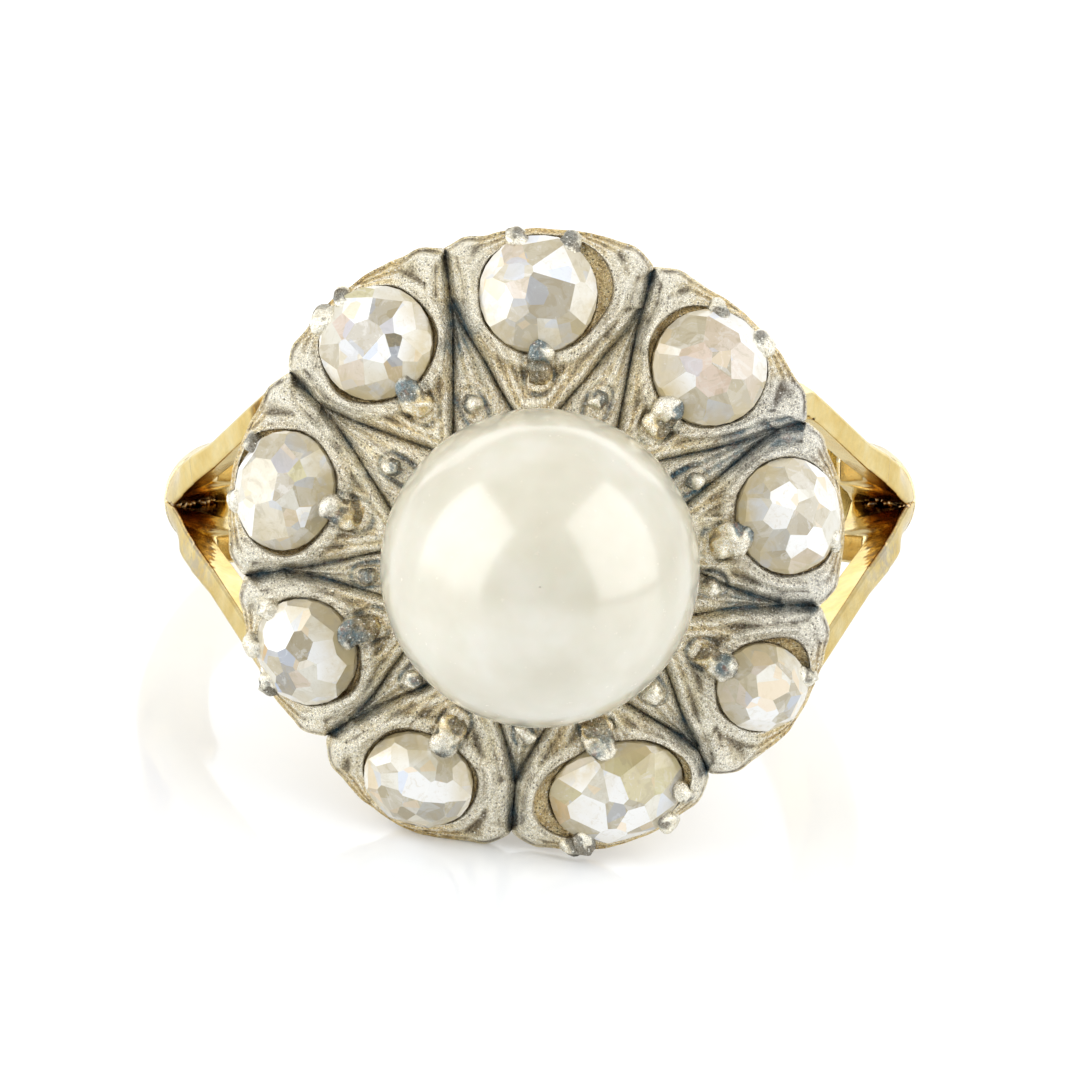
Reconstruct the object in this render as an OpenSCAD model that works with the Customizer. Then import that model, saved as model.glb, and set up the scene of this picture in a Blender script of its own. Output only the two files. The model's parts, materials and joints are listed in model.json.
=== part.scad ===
// Antique cluster ring: nine old-cut diamonds round one pearl, in a cast silver head on a gold hoop.
// It lies on its side, on two points of the head's lower rim and one of the hoop's back edge.
// In the ring's own frame X runs across the finger, Y along it, and Z out through the pearl.

/* [Hoop] */
// Radius of the finger hole
finger_r = 8.65; // [8.5:0.05:8.8]
// Outer radius of the hoop
hoop_r = 10.4; // [10.3:0.05:10.6]
// Shift of the outside towards the head, which leaves the back thinner than the sides
hoop_rise = 0.35; // [0.2:0.05:0.45]
// Width of the hoop along the finger
hoop_w = 2.4; // [2.2:0.05:2.5]
// Radius of the rounded outside, seen in section
hoop_crown_r = 1.4; // [1.35:0.05:1.6]

/* [Split shoulders] */
// Height above the finger centre where each shoulder splits in two
split_z = 2.3; // [2:0.1:2.6]
// Width over both branches half way up
branch_mid_w = 4.6; // [4.3:0.1:4.9]
// Width over both branches where they meet the head
branch_top_w = 8.4; // [8:0.1:8.6]
// Thickness of one branch along the finger
branch_t = 0.95; // [0.85:0.05:1.1]
// Angle up the hoop's side where the branches leave it in a straight line
branch_angle = 22; // [18:1:26]
// Depth of a branch from its outside in
branch_depth = 1.1; // [1:0.05:1.4]

/* [Head] */
// Radius that the dome's fall is measured at
rim_r = 8.1; // [8:0.05:8.3]
// Height of the dome's middle, if the pearl's seat were filled
dome_z = 13.8; // [13.6:0.05:14]
// Fall of the dome from its middle to the rim
dome_fall = 2.05; // [1.95:0.05:2.2]
// Depth of the chased grooves between the petals
groove_depth = 0.42; // [0.3:0.02:0.5]
// Height of the raised lip round each diamond
lip_h = 0.14; // [0.08:0.01:0.18]
// Outward tilt of the diamonds
stone_tilt = 22; // [18:1:23]

/* [Stones] */
// Diameter of the pearl
pearl_d = 8.5; // [8.3:0.05:8.6]
// Height of the pearl's centre
pearl_z = 14.7; // [14.6:0.05:14.9]
// Height of a diamond's table above its girdle
crown_h = 0.78; // [0.6:0.02:0.9]
// Table width as a share of the diamond's width
table_share = 0.42; // [0.35:0.01:0.55]

/* [Hidden] */

// Diamonds, clockwise from the top: angle round the head, reach from its centre, and the size
// of the girdle along the reach and across it
STONE_ANGLE = 0;
STONE_REACH = 1;
STONE_DEPTH = 2;
STONE_WIDTH = 3;
STONES = [
    [  90.4, 6.80, 3.26, 3.14],
    [  47.0, 6.62, 3.20, 3.10],
    [   7.5, 6.66, 2.94, 3.10],
    [ -32.4, 7.00, 2.56, 2.40],
    [ -72.6, 6.87, 2.90, 3.70],
    [-117.4, 7.04, 2.72, 2.98],
    [-156.0, 6.81, 2.78, 2.94],
    [-192.7, 6.96, 2.84, 3.20],
    [-231.5, 7.00, 3.10, 3.08],
];

// Relief after each diamond, clockwise: angle and reach of the apex where its two grooves meet,
// angle and reach of the rim notch, and the angles round the pearl where the grooves end
GAP_APEX_ANGLE = 0;
GAP_APEX_REACH = 1;
GAP_NOTCH_ANGLE = 2;
GAP_NOTCH_REACH = 3;
GAP_FIRST_END = 4;
GAP_SECOND_END = 5;
GAP_BEAD_ANGLE = 6;
GAPS = [
    [  66.7, 7.00,   67.8, 8.00,   87.0,   57.3,   70.0],
    [  26.3, 7.10,   25.0, 7.80,   44.2,   18.8,   28.4],
    [ -13.6, 6.65,  -12.4, 7.60,   -1.0,  -25.2,   -7.9],
    [ -52.3, 6.90,  -53.7, 7.60,  -33.7,  -65.7,  -49.3],
    [ -95.9, 6.30,  -95.6, 7.75,  -78.8, -113.5,  -94.7],
    [-137.3, 6.90, -137.8, 7.65, -125.5, -150.3, -136.5],
    [-174.9, 6.90, -173.8, 7.90, -161.7, -186.2, -175.2],
    [-213.0, 7.00, -214.5, 8.10, -192.6, -229.7, -213.0],
    [-250.2, 7.00, -252.0, 8.30, -230.7, -262.5, -246.5],
];

// Claws: diamond number, angle round it from straight outward, size, and how much further out it stands
CLAW_STONE = 0;
CLAW_ANGLE = 1;
CLAW_SIZE = 2;
CLAW_EXTRA = 3;
CLAWS = [
    [1,  19, 1.00, 0], [1, -33, 1.20, 0], [1, 180, 1.10, 0],
    [2,  31, 1.00, 0], [2, -23, 1.10, 0], [2, 180, 1.10, 0],
    [3, 191, 1.20, 0], [3, -35, 0.80, 0],
    [4, 180, 1.10, 0], [4,  46, 0.90, 0],
    [5, 180, 1.20, 0], [5, -48, 1.35, 0.2], [5,  40, 1.00, 0], [5,  71, 1.00, 0],
    [6, 176, 1.10, 0],
    [7, -27, 1.10, 0], [7,  17, 1.30, 0], [7, -71, 1.10, 0], [7, 180, 1.20, 0],
    [8, -41, 1.00, 0], [8,  23, 0.90, 0], [8, 176, 1.20, 0],
    [9,  28, 1.10, 0], [9,   0, 0.90, 0], [9, 178, 1.10, 0],
];

// Clearance between pieces that touch on the real ring
gap = 0.04;
// The pearl, its beads and the inner ends of the grooves share a centre a little off the head's
heart_y = -0.27;
// Radius of the rim outside each diamond, as a wall past its girdle
rim_wall = 0.14;
// Reach of the bead prongs round the pearl, and their radius
bead_reach = 4.49;
bead_r = 0.24;
bead_sink = 0.3;
bead_rise = 0.12;
// Reach of the inner ends of the grooves, under the pearl's overhang
groove_end_reach = 3.7;
// Extra height of the rim lobes that curl round the diamonds, and the drop of the rim's edge
lobe_h = 0.16;
rim_drop = 0.16;
// Underside of the silver: flat inside this radius and rising outside it
under_z = 11;
under_r = 6.9;
under_rise = 0.45;
edge_r = 8.9;
// Silver hub under the pearl
hub_r = 4.4;
hub_z = 10;
hub_top = 11.6;
// Claws: radius, distance outside the girdle, heights in the diamond's frame, how far the tip laps
// over the crown, and its share of the radius
claw_r = 0.28;
claw_out = 0.17;
claw_base_z = -0.45;
claw_mid_z = 0.16;
claw_tip_z = 0.42;
claw_tip_in = 0.1;
claw_tip_share = 0.75;
// Height on a claw that meets the surface the ring lies on
claw_rest_z = -0.2;
// Diamonds: half the girdle's thickness, depth of the flat back and its share of the width
girdle_t = 0.05;
back_depth = 0.4;
back_share = 0.74;
facets = 8;
// Corners between the main facets, as shares of the width and of the crown's height
main_share = 0.79;
main_rise = 0.56;
// Peg in the pearl
post_r = 0.4;
post_depth = 2.4;
// Gold gallery under the head: collar radii, the hole at the finger side, and the collet cups
collar_low_r = 4.7;
collar_top_r = 6.5;
collar_z = 7.2;
collar_h = 4.5;
back_hole_r = 3.1;
cup_top_r = 1.6;
cup_low_r = 1.1;
cup_h = 2.1;
cup_clearance = 0.2;
shoulder_top = under_z - gap;
// Height of the rail that joins the branches across, under the head
rail_z = 9.4;
// Outline of the branches: where their ridge rises out of the hoop, half way up, and where they
// stop widening below the head
ridge_z = 0.3;
ridge_half = 0.35;
branch_mid_z = 5.6;
branch_top_z = 9.7;
// Width of the undivided shoulder at the split, past the hoop's own width
split_extra = 0.1;
// Half width of the split's bottom, and how far the hoop ends below it
split_point = 0.04;
hoop_lap = 0.1;
// Steps along a groove and round the rim of one petal
groove_count = 4;
rim_count = 12;
snap_steps = 10000;
// Floor of the uncut relief, its cap under the pearl, and how far the lip laps over the girdle
relief_floor = 10.6;
relief_cap = 12.9;
lip_cover = 0.1;
// Longest reach of the lip's inner edge, as a share of the way to the groove
inner_share = 0.9;
// Roundness of the rim's lobes
lobe_power = 0.6;
// Depth of the shoulders' outside below the hoop's, and of the hoop's flat blank inside the finger hole
shoulder_inset = 0.08;
blank_inset = 0.8;
// Length that reaches past everything
far = 40;
// Tilts and rolls between which the ring's rest is looked for
tilt_low = 5;
tilt_high = 40;
roll_limit = 10;
rest_steps = 24;
// Rows of a cell: how far out from the diamond, share of the crest and share of the drop
petal_profile = [[0, 0.3, 0], [0.25, 1, 0], [0.5, 0.4, 0.15], [0.8, 0, 0.3], [1, 0, 1]];
wedge_profile = [[0.45, 0, 0.35], [0.8, 0, 0.45], [1, 0, 1]];
fine = 96;

function polar(reach, angle) = [reach * cos(angle), reach * sin(angle)];
function heart_polar(reach, angle) = polar(reach, angle) + [0, heart_y];
function dome_at(p) = dome_z - dome_fall * pow(norm(p) / rim_r, 2);
function wrap(k) = (k + len(STONES)) % len(STONES);
function stone_centre(s) = polar(s[STONE_REACH], s[STONE_ANGLE]);
// Distance from a diamond's centre to its girdle, at an angle from straight outward
function girdle_r(s, a) =
    1 / sqrt(pow(2 * cos(a) / s[STONE_DEPTH], 2) + pow(2 * sin(a) / s[STONE_WIDTH], 2));
function blend_pt(a, b, t) = a + (b - a) * t;
function apex(g) = polar(g[GAP_APEX_REACH], g[GAP_APEX_ANGLE]);
function notch(g) = polar(g[GAP_NOTCH_REACH], g[GAP_NOTCH_ANGLE]);
function groove_end(g, column) = heart_polar(groove_end_reach, g[column]);

// Point on a claw's upright part, and the claw's radius, in the ring's own frame
function claw_point(c, z) =
    let (s = STONES[c[CLAW_STONE] - 1], a = c[CLAW_ANGLE], r = girdle_r(s, a) + claw_out + c[CLAW_EXTRA],
         local = [r * cos(a), r * sin(a), z],
         out = s[STONE_REACH] + local.x * cos(stone_tilt) + local.z * sin(stone_tilt),
         height = dome_at(stone_centre(s)) - local.x * sin(stone_tilt) + local.z * cos(stone_tilt))
    [
        out * cos(s[STONE_ANGLE]) - local.y * sin(s[STONE_ANGLE]),
        out * sin(s[STONE_ANGLE]) + local.y * cos(s[STONE_ANGLE]),
        height,
        claw_r * c[CLAW_SIZE]
    ];

// Lower edge of the rim, along one petal
function under_edge(o) =
    let (share = (norm([o[0], o[1]]) - under_r) / (edge_r - under_r))
    [o[0], o[1], under_z + under_rise * share, 0];

// Balls that may touch the surface the ring lies on: the lower claws and the rim's lower edge
rest_balls = concat(
    [for (c = CLAWS, z = [claw_rest_z, claw_mid_z]) claw_point(c, z)],
    [for (k = [0 : len(STONES) - 1]) each [
        for (o = rim_steps(STONES[k], GAPS[k], GAPS[wrap(k - 1)])) under_edge(o)
    ]]
);
left_balls = [for (b = rest_balls) if (b.x < 0) b];
right_balls = [for (b = rest_balls) if (b.x >= 0) b];
hoop_edge_r = hoop_r - hoop_crown_r + sqrt(pow(hoop_crown_r, 2) - pow(hoop_w / 2, 2));

// The way down at a tilt and a roll, in the ring's own frame, and how far the head and the hoop reach it
function down(tilt, roll) = [sin(roll), -cos(roll) * cos(tilt), -cos(roll) * sin(tilt)];
function reach_of(balls, n) = max([for (b = balls) n * [b.x, b.y, b.z] + b[3]]);
function hoop_reach(n) = n * [0, -hoop_w / 2, hoop_rise] + hoop_edge_r * norm([n.x, n.z]);

// Tilt at which the head and the hoop's back edge both touch
function tilt_for(roll, low, high, steps) =
    let (middle = (low + high) / 2, n = down(middle, roll))
    steps == 0 ? middle
    : reach_of(rest_balls, n) > hoop_reach(n) ? tilt_for(roll, middle, high, steps - 1)
    : tilt_for(roll, low, middle, steps - 1);

// Roll at which the head touches on both sides of its middle, so that the ring stands on three points
function roll_for(low, high, steps) =
    let (middle = (low + high) / 2, n = down(tilt_for(middle, tilt_low, tilt_high, rest_steps), middle))
    steps == 0 ? middle
    : reach_of(left_balls, n) > reach_of(right_balls, n) ? roll_for(middle, high, steps - 1)
    : roll_for(low, middle, steps - 1);

rest_roll = roll_for(-roll_limit, roll_limit, rest_steps);
rest_tilt = tilt_for(rest_roll, tilt_low, tilt_high, rest_steps);
rest_z = hoop_reach(down(rest_tilt, rest_roll));
side_x = sin(rest_roll) * sin(rest_tilt) * hoop_rise;
front_y = heart_y * sin(rest_tilt) - pearl_z * cos(rest_tilt) - pearl_d / 2;
rear_y = (hoop_r - hoop_crown_r - hoop_rise) * cos(rest_tilt) + hoop_crown_r;

module lie_down() {
    translate([-side_x, -(front_y + rear_y) / 2, rest_z])
        rotate([90 - rest_tilt, rest_roll, 0])
            children();
}

module at_stone(s) {
    rotate([0, 0, s[STONE_ANGLE]])
        translate([s[STONE_REACH], 0, dome_at(stone_centre(s))])
            rotate([0, stone_tilt, 0])
                children();
}

// Hoop with a flat inside and a rounded outside, open where the shoulders take over
module hoop() {
    intersection() {
        translate([0, 0, hoop_rise])
            rotate([90, 0, 0])
                rotate_extrude($fn = fine)
                    intersection() {
                        translate([hoop_r - hoop_crown_r, 0]) circle(hoop_crown_r, $fn = fine);
                        translate([finger_r - blank_inset, -hoop_w / 2]) square([far, hoop_w]);
                    }
        translate([-far / 2, -far / 2, split_z - hoop_lap - far]) cube(far);
    }
}

// Side view of both shoulders: the hoop's curve, then straight up to the head
module shoulder_side() {
    leave = polar(hoop_r, branch_angle) + [0, hoop_rise];
    rise = shoulder_top - leave.y;
    top_x = leave.x - rise * tan(branch_angle);
    intersection() {
        union() {
            translate([0, hoop_rise]) circle(hoop_r - shoulder_inset, $fn = fine);
            polygon([leave, [top_x, shoulder_top], [-top_x, shoulder_top], [-leave.x, leave.y]]);
        }
        translate([-hoop_r, 0]) square([2 * hoop_r, shoulder_top]);
    }
}

// Open space inside the branches, from the step where they leave the finger hole up to the rail
module branch_window() {
    foot = polar(finger_r, branch_angle);
    leave = polar(hoop_r, branch_angle) + [0, hoop_rise];
    step_x = leave.x - (foot.y - leave.y) * tan(branch_angle) - branch_depth;
    top_x = leave.x - (rail_z - leave.y) * tan(branch_angle) - branch_depth;
    polygon([
        foot, [step_x, foot.y], [top_x, rail_z], [-top_x, rail_z], [-step_x, foot.y], [-foot.x, foot.y]
    ]);
}

// Outline of the shoulders seen from the side of the finger: half widths at heights, mirrored
module mirrored_outline(rows) {
    count = len(rows);
    polygon(concat(
        [for (row = rows) [row[1], row[0]]],
        [for (i = [count - 1 : -1 : 0]) [-rows[i][1], rows[i][0]]]
    ));
}

module shoulders() {
    mid_half = branch_mid_w / 2;
    top_half = branch_top_w / 2;
    difference() {
        intersection() {
            rotate([90, 0, 0])
                linear_extrude(far, center = true) shoulder_side();
            rotate([90, 0, 90])
                linear_extrude(far, center = true)
                    mirrored_outline([
                        [ridge_z, ridge_half], [split_z, (hoop_w + split_extra) / 2],
                        [branch_mid_z, mid_half], [branch_top_z, top_half], [shoulder_top, top_half]
                    ]);
        }
        rotate([90, 0, 90])
            linear_extrude(far, center = true)
                mirrored_outline([
                    [split_z, split_point], [branch_mid_z, mid_half - branch_t],
                    [branch_top_z, top_half - branch_t], [far, top_half - branch_t]
                ]);
        rotate([90, 0, 0])
            linear_extrude(far, center = true) branch_window();
    }
}

// Everything under the silver, as the outline of a turned shape
module under_silver() {
    rotate_extrude($fn = fine)
        polygon([
            [0, 0], [edge_r, 0], [edge_r, under_z + under_rise - gap], [under_r, under_z - gap],
            [0, under_z - gap]
        ]);
}

// Collar and nine closed cups that back the diamonds
module gallery() {
    intersection() {
        union() {
            translate([0, 0, collar_z])
                cylinder(r1 = collar_low_r, r2 = collar_top_r, h = collar_h, $fn = fine);
            for (s = STONES)
                at_stone(s)
                    translate([0, 0, -back_depth - cup_clearance - cup_h])
                        cylinder(r1 = cup_low_r, r2 = cup_top_r, h = cup_h, $fn = fine);
        }
        under_silver();
    }
}

module shank() {
    color("goldenrod")
        difference() {
            union() {
                hoop();
                shoulders();
                gallery();
            }
            rotate([90, 0, 0]) cylinder(r = finger_r, h = far, center = true, $fn = fine);
            cylinder(r = back_hole_r, h = far, $fn = fine);
            translate([0, 0, hub_z - gap]) cylinder(r = hub_r + gap, h = far, $fn = fine);
        }
}

// One cell of the relief, raised round a centre. Each outline point holds x, y, the drop at the
// outline and the crest's height; each row of the profile holds how far out, and the two shares
function cell_points(centre, inner, outline, profile) =
    concat(
        [
            for (row = profile, i = [0 : len(outline) - 1])
                let (o = outline[i], p = blend_pt(inner[i], [o[0], o[1]], row[0]))
                snap([p.x, p.y, dome_at(p) + row[1] * o[3] - row[2] * o[2]])
        ],
        [snap([centre.x, centre.y, dome_at(centre)])]
    );

function cell_faces(n, rows, first) =
    [
        for (i = [0 : n - 1])
            let (j = (i + 1) % n)
            each concat(
                [[first + i, first + n * rows, first + j]],
                [for (k = [0 : rows - 2])
                    each let (a = first + n * k)
                    [[a + i, a + j, a + n + i], [a + j, a + n + j, a + n + i]]]
            )
    ];

function snap(p) = [for (c = p) round(c * snap_steps) / snap_steps];

// Points along a straight edge, leaving out its last one
function edge_steps(a, b, steps, drop, crest) =
    [for (i = [0 : steps - 1]) let (p = blend_pt(a, b, i / steps)) [p.x, p.y, drop, crest]];

// The rim outside one diamond, from the notch on its clockwise side to the other
function rim_steps(s, from_gap, to_gap) =
    let (a0 = from_gap[GAP_NOTCH_ANGLE], turn = (to_gap[GAP_NOTCH_ANGLE] - a0 + 720) % 360,
         top = s[STONE_REACH] + s[STONE_DEPTH] / 2 * cos(stone_tilt) + rim_wall)
    [
        for (i = [0 : rim_count - 1])
            let (t = i / rim_count,
                 chord = from_gap[GAP_NOTCH_REACH] * (1 - t) + to_gap[GAP_NOTCH_REACH] * t,
                 hump = pow(sin(180 * t), lobe_power),
                 p = polar(chord + (top - chord) * hump, a0 + turn * t))
            [p.x, p.y, rim_drop, lip_h + lobe_h * (1 - hump)]
    ];

// The raised teardrop round one diamond
function petal_outline(k) =
    let (after = GAPS[k], before = GAPS[wrap(k - 1)],
         right = groove_end(after, GAP_FIRST_END), left = groove_end(before, GAP_SECOND_END))
    concat(
        edge_steps(right, apex(after), groove_count, groove_depth, lip_h),
        edge_steps(apex(after), notch(after), 1, groove_depth, lip_h + lobe_h),
        rim_steps(STONES[k], after, before),
        edge_steps(notch(before), apex(before), 1, rim_drop, lip_h + lobe_h),
        edge_steps(apex(before), left, groove_count, groove_depth, lip_h),
        edge_steps(left, right, 1, groove_depth, lip_h)
    );

function petal_inner(k) =
    let (s = STONES[k], c = stone_centre(s))
    [
        for (o = petal_outline(k))
            let (away = [o[0], o[1]] - c, a = atan2(away.y, away.x) - s[STONE_ANGLE],
                 r = min(girdle_r(s, a) - lip_cover, inner_share * norm(away)))
            c + away / norm(away) * r
    ];

// The sunk wedge between two petals, under a bead prong
function wedge_outline(k) =
    let (g = GAPS[k], first = groove_end(g, GAP_FIRST_END), second = groove_end(g, GAP_SECOND_END))
    concat(
        edge_steps(second, apex(g), groove_count, groove_depth, 0),
        edge_steps(apex(g), first, groove_count, groove_depth, 0),
        edge_steps(first, second, 1, groove_depth, 0)
    );

function wedge_centre(k) =
    let (g = GAPS[k])
    (groove_end(g, GAP_FIRST_END) + groove_end(g, GAP_SECOND_END) + apex(g)) / 3;

// Petals and wedges as one closed block with a flat floor
module relief() {
    count = len(STONES);
    petal_n = len(petal_outline(0));
    wedge_n = len(wedge_outline(0));
    petal_rows = len(petal_profile);
    wedge_rows = len(wedge_profile);
    petal_size = petal_n * petal_rows + 1;
    wedge_size = wedge_n * wedge_rows + 1;
    wedge_first = count * petal_size;
    floor_first = wedge_first + count * wedge_size;
    cap_point = floor_first + count * (rim_count + 1);
    floor_point = cap_point + 1;
    rim_start = groove_count + 1;
    points = concat(
        [for (k = [0 : count - 1])
            each cell_points(stone_centre(STONES[k]), petal_inner(k), petal_outline(k), petal_profile)],
        [for (k = [0 : count - 1])
            let (outline = wedge_outline(k), c = wedge_centre(k))
            each cell_points(c, [for (o = outline) c], outline, wedge_profile)],
        [for (k = [0 : count - 1], i = [0 : rim_count])
            let (o = petal_outline(k)[rim_start + i])
            snap([o[0], o[1], relief_floor])],
        [[0, heart_y, relief_cap], [0, heart_y, relief_floor]]
    );
    faces = concat(
        [for (k = [0 : count - 1]) each cell_faces(petal_n, petal_rows, k * petal_size)],
        [for (k = [0 : count - 1]) each cell_faces(wedge_n, wedge_rows, wedge_first + k * wedge_size)],
        [for (k = [0 : count - 1], i = [0 : rim_count - 1])
            let (t = k * petal_size + petal_n * (petal_rows - 1) + rim_start + i,
                 f = floor_first + k * (rim_count + 1) + i)
            each [[t, t + 1, f], [t + 1, f + 1, f], [f, f + 1, floor_point]]],
        [for (k = [0 : count - 1])
            let (p = k * petal_size + petal_n * (petal_rows - 1),
                 w = wedge_first + k * wedge_size + wedge_n * (wedge_rows - 1))
            each [[p + petal_n - 1, p, cap_point], [w + wedge_n - 1, w, cap_point]]]
    );
    polyhedron(points = points, faces = faces, convexity = 8);
}

module ball(p, r) {
    translate(p) sphere(r, $fn = 8);
}

// A claw that rises outside the girdle and bends over the crown
module claw(c) {
    s = STONES[c[CLAW_STONE] - 1];
    a = c[CLAW_ANGLE];
    r = claw_r * c[CLAW_SIZE];
    out = girdle_r(s, a) + claw_out + c[CLAW_EXTRA];
    base = [out * cos(a), out * sin(a), claw_base_z];
    middle = [out * cos(a), out * sin(a), claw_mid_z];
    tip_out = girdle_r(s, a) - claw_tip_in;
    tip = [tip_out * cos(a), tip_out * sin(a), claw_tip_z];
    at_stone(s) {
        hull() {
            ball(base, r);
            ball(middle, r);
        }
        hull() {
            ball(middle, r);
            ball(tip, claw_tip_share * r);
        }
    }
}

// A small bead prong that stands against the pearl
module bead_prong(g) {
    p = heart_polar(bead_reach, g[GAP_BEAD_ANGLE]);
    hull() {
        ball([p.x, p.y, dome_at(p) - bead_sink], bead_r);
        ball([p.x, p.y, dome_at(p) + bead_rise], bead_r);
    }
}

// A diamond's outline grown by a clearance
module diamond_body(s, grow) {
    wide = [s[STONE_DEPTH] / 2 + grow, s[STONE_WIDTH] / 2 + grow];
    step = 360 / facets;
    table = [for (i = [0 : facets - 1]) crown_point(wide, table_share, step * i, crown_h + grow)];
    main_z = main_rise * crown_h + grow;
    mains = [for (i = [0 : facets - 1]) crown_point(wide, main_share, step * (i + 0.5), main_z)];
    top = [for (i = [0 : 2 * facets - 1]) crown_point(wide, 1, step * i / 2, girdle_t)];
    low = [for (i = [0 : 2 * facets - 1]) crown_point(wide, 1, step * i / 2, -girdle_t)];
    back = [for (i = [0 : 2 * facets - 1]) crown_point(wide, back_share, step * i / 2, -back_depth - grow)];
    m0 = facets;
    t0 = 2 * facets;
    l0 = 4 * facets;
    b0 = 6 * facets;
    polyhedron(
        points = concat(table, mains, top, low, back),
        faces = concat(
            [[for (i = [facets - 1 : -1 : 0]) i]],
            [for (i = [0 : facets - 1]) each crown_faces(i, m0, t0)],
            [for (i = [0 : 2 * facets - 1]) each band_faces(i, t0, l0)],
            [for (i = [0 : 2 * facets - 1]) each band_faces(i, l0, b0)],
            [[for (i = [0 : 2 * facets - 1]) b0 + i]]
        )
    );
}

function crown_point(wide, share, a, z) = [share * wide.x * cos(a), share * wide.y * sin(a), z];

// Star, kite and girdle facets at one corner of the table
function crown_faces(i, m0, t0) =
    let (next = (i + 1) % facets, prev = (i + facets - 1) % facets, g = t0 + 2 * i,
         g1 = g + 1, g2 = t0 + (2 * i + 2) % (2 * facets))
    [
        [i, next, m0 + i], [i, m0 + i, g], [i, g, m0 + prev],
        [m0 + i, g1, g], [m0 + i, g2, g1]
    ];

function band_faces(i, a0, b0) =
    let (j = (i + 1) % (2 * facets))
    [[a0 + i, a0 + j, b0 + i], [a0 + j, b0 + j, b0 + i]];

module cluster_head() {
    color("darkkhaki")
        difference() {
            union() {
                intersection() {
                    union() {
                        relief();
                        for (c = CLAWS) claw(c);
                        for (g = GAPS) bead_prong(g);
                    }
                    rotate_extrude($fn = 40)
                        polygon([
                            [0, under_z], [under_r, under_z], [edge_r, under_z + under_rise],
                            [edge_r, far], [0, far]
                        ]);
                }
                translate([0, 0, hub_z]) cylinder(r = hub_r, h = hub_top - hub_z, $fn = 32);
            }
            for (s = STONES) at_stone(s) diamond_body(s, gap);
            translate([0, heart_y, pearl_z]) sphere(pearl_d / 2 + gap, $fn = 48);
            translate([0, heart_y, 0]) cylinder(r = post_r + gap, h = far, $fn = 16);
        }
}

module pearl() {
    color("ivory")
        difference() {
            translate([0, heart_y, pearl_z]) sphere(pearl_d / 2, $fn = fine);
            translate([0, heart_y, 0])
                cylinder(r = post_r + gap, h = pearl_z - pearl_d / 2 + post_depth + gap, $fn = fine);
        }
}

// Peg that holds the pearl, hidden under it
module pearl_post() {
    color("goldenrod")
        translate([0, heart_y, hub_z])
            cylinder(r = post_r, h = pearl_z - pearl_d / 2 + post_depth - hub_z, $fn = fine);
}

module diamond(number) {
    s = STONES[number - 1];
    color("lightcyan") at_stone(s) diamond_body(s, 0);
}

lie_down() shank();
lie_down() cluster_head();
lie_down() pearl();
lie_down() pearl_post();
lie_down() diamond(1);  // diamond_1
lie_down() diamond(2);  // diamond_2
lie_down() diamond(3);  // diamond_3
lie_down() diamond(4);  // diamond_4
lie_down() diamond(5);  // diamond_5
lie_down() diamond(6);  // diamond_6
lie_down() diamond(7);  // diamond_7
lie_down() diamond(8);  // diamond_8
lie_down() diamond(9);  // diamond_9
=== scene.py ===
import itertools
import json
import math

import bmesh
import bpy
import numpy as np
from mathutils import Matrix, Vector


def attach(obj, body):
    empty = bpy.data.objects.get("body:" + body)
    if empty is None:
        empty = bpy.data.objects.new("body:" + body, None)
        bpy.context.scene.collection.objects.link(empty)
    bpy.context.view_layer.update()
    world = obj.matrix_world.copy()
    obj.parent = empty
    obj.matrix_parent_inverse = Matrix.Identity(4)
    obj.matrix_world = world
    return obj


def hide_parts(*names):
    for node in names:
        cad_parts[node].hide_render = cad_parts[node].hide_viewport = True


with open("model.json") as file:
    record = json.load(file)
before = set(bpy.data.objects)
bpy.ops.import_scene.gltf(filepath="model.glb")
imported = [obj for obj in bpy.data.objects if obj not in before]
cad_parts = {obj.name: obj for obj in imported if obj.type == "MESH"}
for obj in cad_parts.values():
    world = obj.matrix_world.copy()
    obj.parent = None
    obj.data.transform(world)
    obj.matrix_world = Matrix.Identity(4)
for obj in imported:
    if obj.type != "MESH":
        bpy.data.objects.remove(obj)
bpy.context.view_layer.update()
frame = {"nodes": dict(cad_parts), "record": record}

# The ring's own frame: U across the finger, V along it, W out through the pearl, in millimetres
BORE = frame["record"]["mounts"][0]
CENTRE = np.array(BORE["pos_m"])
V_AXIS = np.array(BORE["axis"]) / np.linalg.norm(BORE["axis"])
ROLL = math.atan2(V_AXIS[0], V_AXIS[2])
U_AXIS = np.array([math.cos(ROLL), 0.0, -math.sin(ROLL)])
W_AXIS = np.cross(U_AXIS, V_AXIS)
AXES = np.stack([U_AXIS, V_AXIS, W_AXIS])
MM = 0.001

# Camera of the photograph
CAMERA_AIM_W = 10.55
CAMERA_DISTANCE = 339.5
CAMERA_PITCH = 6.6
CAMERA_LENS = 421.0
SENSOR = 36.0

# Diamonds, clockwise from the top of the photograph: angle, reach, depth and width of the girdle
STONES = [
    (90.4, 6.80, 3.26, 3.14),
    (47.0, 6.62, 3.20, 3.10),
    (7.5, 6.66, 2.94, 3.10),
    (-32.4, 7.00, 2.56, 2.40),
    (-72.6, 6.87, 2.90, 3.70),
    (-117.4, 7.04, 2.72, 2.98),
    (-156.0, 6.81, 2.78, 2.94),
    (-192.7, 6.96, 2.84, 3.20),
    (-231.5, 7.00, 3.10, 3.08),
]
# Extra width of each pocket round its diamond: angle from straight outward, millimetres, spread
POCKET_GAPS = [
    [(-75, 0.42, 42)],
    [(90, 0.22, 35)],
    [(-60, 0.10, 30)],
    [(78, 0.32, 35)],
    [(-95, 0.42, 32), (92, 0.18, 25)],
    [(-123, 0.10, 30), (117, 0.10, 30)],
    [(126, 0.15, 30)],
    [(103, 0.12, 30), (-32, 0.28, 28)],
    [(112, 0.12, 25), (-120, 0.12, 25)],
]
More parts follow.
